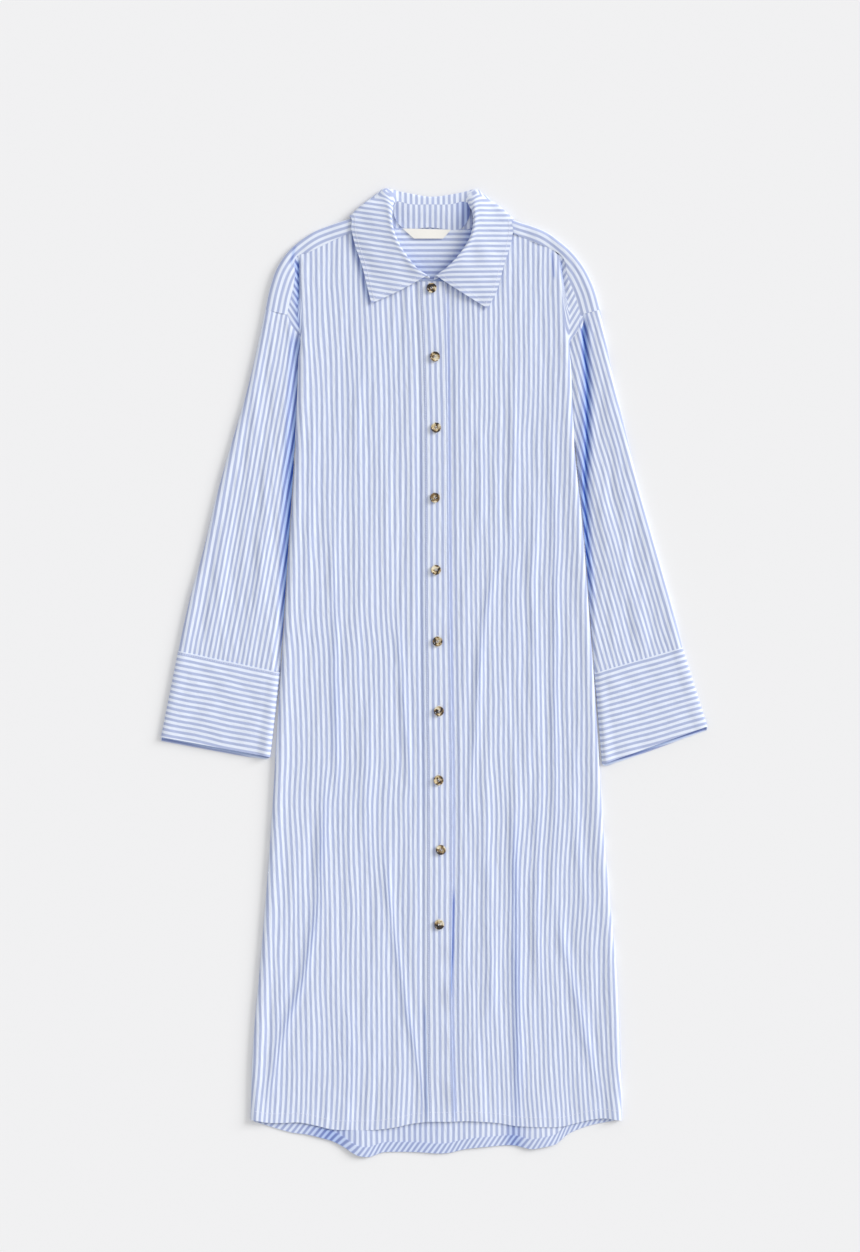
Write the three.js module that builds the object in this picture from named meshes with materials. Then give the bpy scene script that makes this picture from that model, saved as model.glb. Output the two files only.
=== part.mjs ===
// A long shirt dress laid flat on its back, as a maker cuts and sews it.
// Millimetres. X runs across, Y from the hem up to the collar, Z up from the surface.
// "right" and "left" are the wearer's, so the right side lies at negative X.
import * as THREE from 'three';

// Cloth and layers
const WALL = 1.2;
const SEAM_SETBACK = 0.22;
const SLEEVE_SEAM = 0.3;
const CUFF_SEAM = 0.45;
const COLLAR_SEAM = 0.4;
const CORNER_SETBACK = 0.6;
const CORNER_SPACING = 10;
const LOW = WALL / 2;
const TOP = 4.4;
const SIDE_FOLD = 2.4;
const TUCK_FOLD = 1.05;
const FOLD_TOP = LOW + 2 * SIDE_FOLD;
const VALLEY = LOW + 2 * TUCK_FOLD;
const SHOULDER_FOLD = 2.0;
const CUFF_FOLD = 2.0;
const COLLAR_LIFT = 1.6;
const RISE = [538, 556];

// The sleeve starts this far outside the body's fold line, and the wedge this far inside it
const SLEEVE_ASIDE = 1.9;
const ARMHOLE_ASIDE = 0.7;
const WEDGE_INSET = 3.2;
const CUFF_UNDERLAP = 5;

// Heights along the body, measured from the middle of its length
const BACK_SEAM_Y = 440;
const UNDERARM_Y = 275;
const BACK_UNDERARM_Y = 312;
const NECK_FRONT_Y = 509.2;
const SHOULDER_Y = 539;

// Placket
const BUTTON_BAND_Z = 3.9;
const BUTTONHOLE_BAND_Z = 5.45;
const BUTTON_RADIUS = 6.4;
const BUTTON_THICK = 2.4;
const BUTTON_GAP = 0.3;
const BUTTON_SIDES = 14;

// How finely each piece is divided
const ROWS = { side: 14, valley: 5, notch: 2, wedge: 3, sleeve: 13, cuff: 3 };
const COLUMNS = { yokeSeam: 7, neck: 4, band: 3, back: 28 };
const YOKE = { flat: 3, strip: 2 };
const COLLAR_GRID = { rows: 10, stand: 2 };

// Outlines of one side, each from the lower or outer end
const SIDES = {
  right: {
    sign: -1,
    bodyEdge: [[-237.8, -581], [-235.6, -490.5], [-226.5, -386.5], [-218.7, -295.5], [-210.9, -191.5],
      [-203.1, -61.5], [-194, 68.5], [-185.5, 198.5], [-178.4, 315.5], [-174.5, 432.5], [-177.3, 539]],
    shoulderDrop: [[-218.9, 471.5], [-214.8, 492.3], [-206.2, 520.9], [-193.4, 541.7], [-187, 549.6]],
    shoulderTop: [[-187, 549.6], [-162.8, 569], [-134.2, 581.2], [-109.5, 589.4], [-61.5, 607.6]],
    armholeNotch: [[-176.3, 440.3], [-186.4, 452], [-192, 465]],
    yokeDrop: [[-192, 465], [-185.5, 488], [-181, 515], [-179.4, 540.4]],
    yokeSeam: [[-179.4, 540.4], [-159.6, 547.4], [-134.2, 559.9], [-107.5, 571.6], [-61.5, 588.6]],
    backArmhole: [[-197, 440], [-191.5, 410], [-187.5, 375], [-185.5, 345]],
    sleeveOuter: [[-218.9, 471.5], [-233, 406.5], [-246, 354.5], [-265.5, 289.5], [-283.7, 224.5],
      [-299.3, 159.5], [-317.5, 94.5], [-332.2, 28.2]],
    cuff: {
      innerTop: [-200.3, 0.5],
      outerTop: [-332.2, 28.2],
      innerEnd: [-213.5, -109.6],
      outerEnd: [-354.5, -83.6],
    },
    neck: [[-20.5, 508.4], [-39.8, 534], [-54.4, 561], [-61.5, 588.6]],
    neckSide: [[-60.6, 596], [-59.6, 600.6]],
    neckTurn: [-57.6, 604.4],
    backNeck: [[-56.6, 596], [-53, 578]],
    bandSeam: [[-8.1, -583], [-10.7, -425.5], [-10.7, -165.5], [-13.3, 94.5], [-14.6, 354.5], [-20.5, 508]],
  },
  left: {
    sign: 1,
    bodyEdge: [[243.1, -581], [241.5, -490.5], [236.3, -386.5], [227.9, -295.5], [218.5, -191.5],
      [210.9, -61.5], [201.5, 68.5], [191.4, 198.5], [179.9, 315.5], [174.7, 432.5], [164.8, 539]],
    shoulderDrop: [[215.2, 471.5], [209, 494.3], [198.6, 518.3], [185.1, 539.1], [176, 548.5]],
    shoulderTop: [[176, 548.5], [150.5, 569], [127.1, 579.4], [103.1, 587.2], [55.5, 606]],
    armholeNotch: [[176.6, 430], [186.9, 444], [190.8, 465]],
    yokeDrop: [[190.8, 465], [183, 490], [173, 516], [166.5, 540]],
    yokeSeam: [[166.5, 540], [150.5, 550.8], [124, 561.2], [103.1, 570.3], [55.5, 587]],
    backArmhole: [[194, 440], [190.5, 410], [188, 375], [187, 345]],
    sleeveOuter: [[215.2, 471.5], [227.2, 406.5], [238.3, 354.5], [253.9, 289.5], [269.5, 224.5],
      [288.3, 159.5], [306.5, 94.5], [322.1, 32.6]],
    cuff: {
      innerTop: [208.6, 0],
      outerTop: [322.1, 32.6],
      innerEnd: [218.6, -119],
      outerEnd: [354.5, -69.7],
    },
    neck: [[14.5, 508.4], [34.6, 534], [49.8, 559], [55.5, 587]],
    neckSide: [[54.4, 594.6], [53.4, 599.2]],
    neckTurn: [51.2, 603],
    backNeck: [[50, 595], [46.6, 576.6]],
    bandSeam: [[25.7, -583], [21.8, -425.5], [23.1, -165.5], [19.2, 94.5], [16.6, 354.5], [14.5, 508]],
  },
};

// Lower edges, from the wearer's right to the left
const FRONT_HEM = {
  right: [[-237.2, -582], [-210.2, -584.7], [-166.7, -584.7], [-137.2, -592.5], [-84.8, -594.2],
    [-48.4, -589.9], [-23.7, -584.6], [-8.4, -583]],
  left: [[25.6, -581.8], [55.6, -582.8], [81.6, -584.7], [109.5, -589], [161.7, -589.9],
    [189.5, -583.8], [211.6, -579.4], [243.5, -578.6]],
};
const BACK_HEM = [[-234.6, -583], [-189.3, -596.8], [-161.5, -601], [-137.2, -607.5], [-121.4, -612.7],
  [-112.7, -620.5], [-102.3, -626.5], [-88.7, -629.1], [-74.4, -628.3], [-66, -623.3], [-20.4, -623.1],
  [-8.1, -624.8], [20.5, -623.9], [40, -619.2], [64.2, -616.6], [102.4, -614], [116.4, -618.3],
  [130, -618.9], [146, -615.6], [161.7, -611], [170, -602], [185.6, -594.2], [203.5, -588], [239.9, -581]];

// Waves of the back hem: centre x, half width, height of the cloth's middle above the surface
const HEM_WAVES = [
  { x: -98, half: 26, lift: 1.5 },
  { x: 5, half: 40, lift: 0.7 },
  { x: 138, half: 28, lift: 1.5 },
];

// Long soft folds of the fronts: both ends, half width and height
const FOLD_LIMIT = 1.1;
const FRONT_FOLDS = [
  { from: [-130, 150], to: [-126, -210], half: 16, lift: 0.9 },
  { from: [-143, -215], to: [-205, -530], half: 16, lift: 1.0 },
  { from: [-50, 20], to: [-30, -160], half: 14, lift: 0.8 },
  { from: [-60, -300], to: [-16, -545], half: 14, lift: 1.0 },
  { from: [74, 120], to: [46, -190], half: 15, lift: 0.9 },
  { from: [156, 0], to: [152, -200], half: 15, lift: 0.8 },
  { from: [104, -240], to: [108, -588], half: 14, lift: 1.0 },
  { from: [168, -350], to: [209, -540], half: 15, lift: 0.9 },
];

// Collar sections from the right front end round the back to the left front end.
// Columns: steps to the next row, neck seam, top of the stand, roll, middle of the leaf, outer edge
const COLLAR = [
  [2, [-6, 510.4, 5.4], [-6, 513, 7.2], [-9, 515, 9.6], [-44, 496.4, 8.4], [-81.5, 479.3, 7.2]],
  [3, [-22, 517, 5.4], [-18.5, 520, 8.6], [-19.5, 521.5, 12], [-53, 509, 9.2], [-85, 493, 7.2]],
  [3, [-38, 537, 5.4], [-35, 541, 10], [-37, 542, 14.5], [-66, 533, 10.2], [-93, 526, 7.2]],
  [3, [-52, 563, 5.4], [-48.5, 567, 10], [-51, 567, 15], [-78, 565, 10.6], [-104, 560, 7.4]],
  [2, [-57.5, 589, 5.6], [-54, 592, 10.4], [-56.4, 592, 14.8], [-82, 588, 11], [-107.6, 578, 8.2]],
  [1, [-56.8, 600, 5.8], [-53.8, 601, 9.2], [-57.6, 604, 13], [-84, 602.5, 10], [-107.5, 589.6, 8.4]],
  [1, [-55.6, 605.5, 5.4], [-53.6, 607, 7.8], [-61, 615, 10], [-87, 611, 7.4], [-109.3, 591.7, 7.3]],
  [1, [-54, 607.8, 4.2], [-52, 611, 6.4], [-65.3, 628.8, 5.2], [-87.6, 612.2, 4.6], [-110, 592.6, 4.5]],
  [1, [-53.2, 605.5, 3.2], [-48.5, 612, 5.6], [-62.6, 628.7, 3.9], [-87, 611, 1.8], [-109.3, 591.7, 1.75]],
  [2, [-53, 598, 2.6], [-44.5, 611.5, 5.1], [-57, 627.4, 2.9], [-82.5, 606, 0.6], [-107.5, 589.4, 0.6]],
  [3, [-43, 579.6, 2.2], [-35, 609, 4.8], [-33, 622.5, 2.7], [-44, 592, 0.6], [-57, 568, 0.6]],
  [3, [-5, 578.4, 2.2], [-5, 608, 4.8], [-5, 618, 2.7], [-5, 590, 0.6], [-5, 563, 0.6]],
  [2, [37, 578.4, 2.2], [26, 609, 4.8], [25, 621.5, 2.7], [35, 592, 0.6], [49, 567, 0.6]],
  [1, [46.4, 597, 2.6], [36, 611.5, 5.1], [47.5, 626.2, 2.9], [74.5, 603, 0.6], [100.8, 586, 0.6]],
  [1, [46.6, 604, 3.2], [40, 611.5, 5.6], [53, 627.4, 3.9], [79, 608, 1.8], [102.7, 588.2, 1.75]],
  [1, [47.4, 606.3, 4.2], [43.6, 610, 6.4], [55.6, 627.5, 5.2], [79.6, 609, 4.6], [103.5, 589, 4.5]],
  [1, [49, 604, 5.4], [45.4, 606, 7.8], [53, 614, 10], [79, 608, 7.4], [102.7, 588.2, 7.3]],
  [2, [50, 598.6, 5.8], [46, 600, 9.2], [52, 603, 13.2], [76.5, 600, 10.2], [101, 586.2, 8.4]],
  [3, [51.5, 587, 5.6], [47.6, 590, 10.4], [52, 590, 15.6], [77, 586, 11.4], [102.2, 576, 8.2]],
  [3, [47.5, 561, 5.4], [44, 566, 10.4], [47.5, 566, 16], [74, 564, 11.4], [100.5, 562, 7.4]],
  [3, [33, 537, 5.4], [29.5, 541.5, 10.4], [32, 542.5, 15.5], [62, 532, 10.9], [91, 530, 7.2]],
  [2, [15.5, 517, 5.4], [12, 521.5, 9], [13, 523.5, 12.8], [46, 508, 9.7], [80, 493, 7.2]],
  [0, [-0.5, 510.4, 5.4], [0.4, 513, 7.2], [2, 515, 9.9], [35, 494, 8.7], [69.3, 472.8, 7.2]],
].map(([steps, neck, stand, roll, mid, edge]) => ({ steps, neck, stand, roll, mid, edge }));

const BUTTONS = [[-3.4, 499.4], [1, 410.4], [2.3, 318.1], [1, 227.1], [2.3, 133.5],
  [4.3, 40.6], [6.1, -49.8], [5.6, -139.5], [8.6, -229.8], [6.5, -326.7]];
const LABEL = {
  top: [[-41.2, 577], [21.8, 575.4]],
  bottom: [[-26.3, 563.8], [11.4, 563.8]],
  z: 3.7,
  bow: 0.5,
  wall: 1.0,
  steps: 6,
};

const COLOURS = { cloth: 0xccd5eb, button: 0x3a2a1c, label: 0xf1eee6 };

const surface = (color, roughness) => new THREE.MeshStandardMaterial({ color, roughness, metalness: 0 });
const clothMaterial = surface(COLOURS.cloth, 0.85);
const buttonMaterial = surface(COLOURS.button, 0.3);
const labelMaterial = surface(COLOURS.label, 0.8);

// Small helpers
const vec = (p, z = 0) => new THREE.Vector3(p[0], p[1], p.length > 2 ? p[2] : z);
const lerp = (a, b, t) => a + (b - a) * t;
const mix = (a, b, t) => a.clone().lerp(b, t);
const flat = (p, z) => new THREE.Vector3(p.x, p.y, z);

function smooth(from, to, value) {
  const t = THREE.MathUtils.clamp((value - from) / (to - from), 0, 1);
  return t * t * (3 - 2 * t);
}

// Evenly spaced points along a smooth line through the given ones
function along(rows, segments) {
  const line = new THREE.SplineCurve(rows.map(([x, y]) => new THREE.Vector2(x, y)));
  return line.getSpacedPoints(segments).map((p) => new THREE.Vector3(p.x, p.y, 0));
}

// X of a line that runs up the body, at height y
function xAt(rows, y) {
  const line = new THREE.SplineCurve(rows.map(([x, rowY]) => new THREE.Vector2(x, rowY)));
  let low = 0;
  let high = 1;
  for (let step = 0; step < 30; step += 1) {
    const middle = (low + high) / 2;
    if (line.getPoint(middle).y < y) low = middle;
    else high = middle;
  }
  return line.getPoint(low).x;
}

// A sheet stretched between four edges; bottom and top run alike, and so do left and right
function stretch(bottom, top, left, right) {
  const across = bottom.length - 1;
  const up = left.length - 1;
  const grid = [];
  for (let j = 0; j <= up; j += 1) {
    const v = j / up;
    const row = [];
    for (let i = 0; i <= across; i += 1) {
      const u = i / across;
      const between = mix(bottom[i], top[i], v).add(mix(left[j], right[j], u));
      const corners = mix(mix(bottom[0], bottom[across], u), mix(top[0], top[across], u), v);
      row.push(between.sub(corners));
    }
    grid.push(row);
  }
  return grid;
}

// Moves the end rows or columns of a sheet back from their seams
function setBack(grid, edges, distance = SEAM_SETBACK) {
  const lastRow = grid.length - 1;
  const lastColumn = grid[0].length - 1;
  const pull = (point, inner) => point.add(inner.clone().sub(point).setLength(distance));
  if (edges.includes('bottom')) grid[0].forEach((p, i) => pull(p, grid[1][i]));
  if (edges.includes('top')) grid[lastRow].forEach((p, i) => pull(p, grid[lastRow - 1][i]));
  if (edges.includes('left')) grid.forEach((row) => pull(row[0], row[1]));
  if (edges.includes('right')) grid.forEach((row) => pull(row[lastColumn], row[lastColumn - 1]));
  return grid;
}

// Direction square to the sheet at each grid point
function normalsOf(grid, ring) {
  const rows = grid.length;
  const columns = grid[0].length;
  return grid.map((row, j) => row.map((_, i) => {
    const right = ring ? (i + 1) % columns : Math.min(i + 1, columns - 1);
    const left = ring ? (i + columns - 1) % columns : Math.max(i - 1, 0);
    const acrossSheet = row[right].clone().sub(row[left]);
    const upSheet = grid[Math.min(j + 1, rows - 1)][i].clone().sub(grid[Math.max(j - 1, 0)][i]);
    return acrossSheet.cross(upSheet).normalize();
  }));
}

// A wall of cloth on both sides of a grid of middle points; a ring closes round its columns
function cloth(name, grid, { ring = false, wall = WALL, material = clothMaterial, facing } = {}) {
  const rows = grid.length;
  const columns = grid[0].length;
  const normals = facing ?? normalsOf(grid, ring);
  const positions = [];
  for (const side of [0.5, -0.5]) {
    grid.forEach((row, j) => row.forEach((p, i) => {
      positions.push(...p.clone().addScaledVector(normals[j][i], side * wall).toArray());
    }));
  }
  const outer = (j, i) => j * columns + (ring ? i % columns : i);
  const inner = (j, i) => outer(j, i) + rows * columns;
  const triangles = [];
  const quad = (a, b, c, d) => triangles.push(a, b, c, a, c, d);
  const point = (j, i) => grid[j][ring ? i % columns : i];
  const end = columns - 1;
  const lastColumn = ring ? columns : columns - 1;
  for (let j = 0; j < rows - 1; j += 1) {
    for (let i = 0; i < lastColumn; i += 1) {
      const corners = [[j, i], [j, i + 1], [j + 1, i + 1], [j + 1, i]];
      const one = point(j, i).distanceTo(point(j + 1, i + 1));
      const other = point(j, i + 1).distanceTo(point(j + 1, i));
      if (other < one) corners.push(corners.shift());
      const top = corners.map(([row, column]) => outer(row, column));
      const under = corners.map(([row, column]) => inner(row, column));
      quad(...top);
      quad(under[0], under[3], under[2], under[1]);
    }
  }
  for (let i = 0; i < lastColumn; i += 1) {
    quad(outer(0, i + 1), outer(0, i), inner(0, i), inner(0, i + 1));
    quad(outer(rows - 1, i), outer(rows - 1, i + 1), inner(rows - 1, i + 1), inner(rows - 1, i));
  }
  if (!ring) {
    for (let j = 0; j < rows - 1; j += 1) {
      quad(outer(j, 0), outer(j + 1, 0), inner(j + 1, 0), inner(j, 0));
      quad(outer(j + 1, end), outer(j, end), inner(j, end), inner(j + 1, end));
    }
  }
  const geometry = new THREE.BufferGeometry();
  geometry.setAttribute('position', new THREE.Float32BufferAttribute(positions, 3));
  geometry.setIndex(signedVolume(positions, triangles) > 0 ? triangles : triangles.reverse());
  geometry.computeVertexNormals();
  const mesh = new THREE.Mesh(geometry, material);
  mesh.name = name;
  return mesh;
}

function signedVolume(positions, triangles) {
  const at = (index) => new THREE.Vector3().fromArray(positions, index * 3);
  let sum = 0;
  for (let t = 0; t < triangles.length; t += 3) {
    sum += at(triangles[t]).dot(at(triangles[t + 1]).cross(at(triangles[t + 2])));
  }
  return sum / 6;
}

// Height that the long folds of the fronts add at a place
function foldLift(x, y) {
  let lift = 0;
  for (const fold of FRONT_FOLDS) {
    const [x0, y0] = fold.from;
    const [x1, y1] = fold.to;
    const t = (y - y0) / (y1 - y0);
    const ends = smooth(-0.15, 0.2, t) * (1 - smooth(0.8, 1.15, t));
    const aside = (x - lerp(x0, x1, t)) / fold.half;
    lift += fold.lift * ends * Math.exp(-aside * aside);
  }
  return Math.min(lift, FOLD_LIMIT);
}

// The back yoke and collar leaf share the surface near the neck, so the yoke rides up there
function collarLift(x, y) {
  return COLLAR_LIFT * smooth(RISE[0], RISE[1], y) * (1 - smooth(113, 130, Math.abs(x + 3.5)));
}

// Section of an edge fold: place across it, measured inwards from the fold, and height,
// both in radii, from the upper layer round to the lower
const FOLD_SECTION = [[1, 1], [0.293, 0.707], [0, 0], [0.293, -0.707], [1, -1]];

// Edge of a front panel beside the sleeve's seam: place outwards from the fold line, and height
const VALLEY_SECTION = [[-2.4, FOLD_TOP], [-0.7, 4.7], [0.1, 3.7], [0.8, 2.95], [1.5, VALLEY]];

// Share of the way to the seam, and height, where a front panel ends beside the yoke
const WEDGE_SECTION = [[0, FOLD_TOP], [0.3, 4.7], [0.5, 4.3], [0.75, 4.6], [1, 4.9]];

// Rows of a front panel from hem to yoke: where its fold line and its seam lie
function frontRows(side) {
  const { bodyEdge, armholeNotch, yokeDrop, sign } = side;
  const rows = [];
  for (let j = 0; j <= ROWS.side; j += 1) {
    const y = lerp(bodyEdge[0][1], UNDERARM_Y, j / ROWS.side);
    rows.push({ kind: 'fold', x: xAt(bodyEdge, y), y });
  }
  const valleyTop = armholeNotch[0][1];
  for (let j = 1; j <= ROWS.valley; j += 1) {
    const y = lerp(UNDERARM_Y, valleyTop, j / ROWS.valley);
    rows.push({ kind: 'valley', x: xAt(bodyEdge, y), y });
  }
  const notch = along(armholeNotch, ROWS.notch).slice(1);
  const drop = along(yokeDrop, ROWS.wedge).slice(1);
  for (const seam of [...notch, ...drop]) {
    const y = Math.min(seam.y, bodyEdge[bodyEdge.length - 1][1]);
    rows.push({ kind: 'wedge', x: xAt(bodyEdge, y) - sign * WEDGE_INSET, y: seam.y, seam });
  }
  return rows;
}

// The five edge points of one row, from the upper layer out to the seam
function frontEdge(row, sign) {
  if (row.kind === 'fold') {
    return FOLD_SECTION.map(([inwards, height]) => new THREE.Vector3(
      row.x - sign * inwards * SIDE_FOLD, row.y, LOW + SIDE_FOLD * (1 + height)));
  }
  if (row.kind === 'valley') {
    return VALLEY_SECTION.map(([outwards, z]) => new THREE.Vector3(row.x + sign * outwards, row.y, z));
  }
  return WEDGE_SECTION.map(([share, z]) => new THREE.Vector3(
    lerp(row.x, row.seam.x, share), lerp(row.y, row.seam.y, share), z));
}

function frontPanel(name, side, key) {
  const { sign, bandSeam, yokeSeam, neck } = side;
  const rows = frontRows(side);
  const edges = rows.map((row) => frontEdge(row, sign));
  const outerLine = edges.map((edge) => flat(edge[0], 0));
  const bandTop = bandSeam[bandSeam.length - 1][1];
  const seamLine = rows.map((_, j) => {
    const y = lerp(bandSeam[0][1], bandTop, j / (rows.length - 1));
    return new THREE.Vector3(xAt(bandSeam, y), y, 0);
  });
  const neckLine = along([...neck].reverse(), COLUMNS.neck);
  const topLine = [...along(yokeSeam, COLUMNS.yokeSeam), ...neckLine.slice(1)];
  const hemRows = key === 'right' ? FRONT_HEM.right : [...FRONT_HEM.left].reverse();
  const hemLine = along(hemRows, topLine.length - 1);
  hemLine[0].copy(outerLine[0]);
  hemLine[hemLine.length - 1].copy(seamLine[0]);
  topLine[0].copy(outerLine[outerLine.length - 1]);
  topLine[topLine.length - 1].copy(seamLine[seamLine.length - 1]);
  const grid = stretch(hemLine, topLine, outerLine, seamLine);
  const seamHeight = key === 'right' ? BUTTONHOLE_BAND_Z : BUTTON_BAND_Z;
  grid.forEach((row, j) => row.forEach((p) => {
    const toFold = Math.abs(p.x - outerLine[j].x);
    const toBand = Math.abs(p.x - seamLine[j].x);
    const free = TOP + foldLift(p.x, p.y) * smooth(0, 16, toBand) * smooth(0, 20, toFold);
    const nearBand = lerp(seamHeight, free, smooth(0, 22, toBand));
    p.z = lerp(edges[j][0].z, nearBand, smooth(0, 30, toFold));
  }));
  const full = grid.map((row, j) => [...edges[j].slice(1).reverse(), ...row]);
  setBack(full, ['left', 'right', 'top']);
  return { mesh: cloth(name, full), edges, rows, seamLine };
}

// Places along the yoke's flat layer, with two at the foot and head of its rise to the collar
function flatPlaces(fromY, toY) {
  const foot = Math.min(RISE[0], lerp(fromY, toY, 0.6));
  const head = Math.min(RISE[1], lerp(fromY, toY, 0.85));
  return [0, (foot - fromY) / (toY - fromY), (head - fromY) / (toY - fromY), 1];
}

// The yoke wraps over both shoulders. Each column runs from the back seam up to the shoulder
// line, round it and down to the front seam; at the neck it ends at the collar.
function yokeColumn(start, shoulder, inwards, end, turn = 1) {
  const column = [];
  const low = (p) => LOW + collarLift(p.x, p.y);
  const foldIn = shoulder.clone().addScaledVector(inwards, SIDE_FOLD);
  for (const t of flatPlaces(start.y, foldIn.y)) {
    const p = mix(start, foldIn, t);
    column.push(flat(p, low(p)));
  }
  const base = low(foldIn);
  const lift = collarLift(foldIn.x, foldIn.y) / COLLAR_LIFT;
  const radius = lerp(SIDE_FOLD, SHOULDER_FOLD, lift);
  for (const angle of [45, 90, 135, 180]) {
    const turned = THREE.MathUtils.degToRad(angle * turn);
    const p = foldIn.clone().addScaledVector(inwards, -SIDE_FOLD * Math.sin(turned));
    column.push(flat(p, base + radius * (1 - Math.cos(turned))));
  }
  for (let j = 1; j <= YOKE.strip; j += 1) {
    const last = column[YOKE.flat + 4];
    const p = mix(foldIn, end, j / YOKE.strip);
    column.push(flat(p, turn < 1 ? last.z : lerp(last.z, 4.9 + 0.5 * lift, j / YOKE.strip)));
  }
  return column;
}

// Columns of one half of the yoke, from the armhole to the side of the neck
function yokeHalf(side) {
  const { sign, shoulderDrop, shoulderTop, yokeDrop, yokeSeam, neckSide, backArmhole } = side;
  const shoulder = [...along(shoulderDrop, ROWS.wedge), ...along(shoulderTop, COLUMNS.yokeSeam).slice(1)];
  const seam = [...along(yokeDrop, ROWS.wedge), ...along(yokeSeam, COLUMNS.yokeSeam).slice(1)];
  const count = shoulder.length;
  const columns = shoulder.map((p, i) => {
    const before = shoulder[Math.max(i - 1, 0)];
    const after = shoulder[Math.min(i + 1, count - 1)];
    const run = after.clone().sub(before).normalize();
    const inwards = new THREE.Vector3(-sign * Math.abs(run.y), -Math.abs(run.x), 0).normalize();
    const startX = lerp(backArmhole[0][0], backArmhole[0][0] * 0.42, i / (count - 1));
    return yokeColumn(new THREE.Vector3(startX, BACK_SEAM_Y, 0), p, inwards, seam[i]);
  });
  const last = shoulder[count - 1];
  const run = last.clone().sub(shoulder[count - 2]).normalize();
  const inwards = new THREE.Vector3(-sign * Math.abs(run.y), -Math.abs(run.x), 0).normalize();
  neckSide.forEach((end, i) => {
    const startX = backArmhole[0][0] * (0.38 - 0.04 * i);
    const p = last.clone().add(new THREE.Vector3(-sign * (0.8 + 0.8 * i), -0.4 - 0.6 * i, 0));
    columns.push(yokeColumn(new THREE.Vector3(startX, BACK_SEAM_Y, 0), p, inwards, vec(end)));
  });
  return columns;
}

// Columns that end at the back of the neck, where the yoke is one flat layer
function yokeBackNeck() {
  const { right, left } = SIDES;
  const line = [vec(right.neckTurn), vec(right.backNeck[0]),
    ...along([right.backNeck[1], [-3, 576.6], left.backNeck[1]], 8),
    vec(left.backNeck[0]), vec(left.neckTurn)];
  const steps = YOKE.flat + 4 + YOKE.strip;
  const edgeX = [right.backArmhole[0][0] * 0.30, left.backArmhole[0][0] * 0.30];
  return line.map((end, i) => {
    const start = new THREE.Vector3(lerp(edgeX[0], edgeX[1], i / (line.length - 1)), BACK_SEAM_Y, 0);
    const [, foot, head] = flatPlaces(start.y, end.y);
    return Array.from({ length: steps + 1 }, (_, j) => {
      const t = j < 2 ? j * foot : lerp(head, 1, (j - 2) / (steps - 2));
      const p = mix(start, end, t);
      return flat(p, LOW + collarLift(p.x, p.y));
    });
  });
}

function yokePiece(rightHalf, leftHalf) {
  const columns = [...rightHalf, ...yokeBackNeck(), ...[...leftHalf].reverse()];
  const grid = columns[0].map((_, j) => columns.map((column) => column[j].clone()));
  setBack(grid, ['bottom', 'top', 'left', 'right']);
  return cloth('yoke', grid);
}

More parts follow.
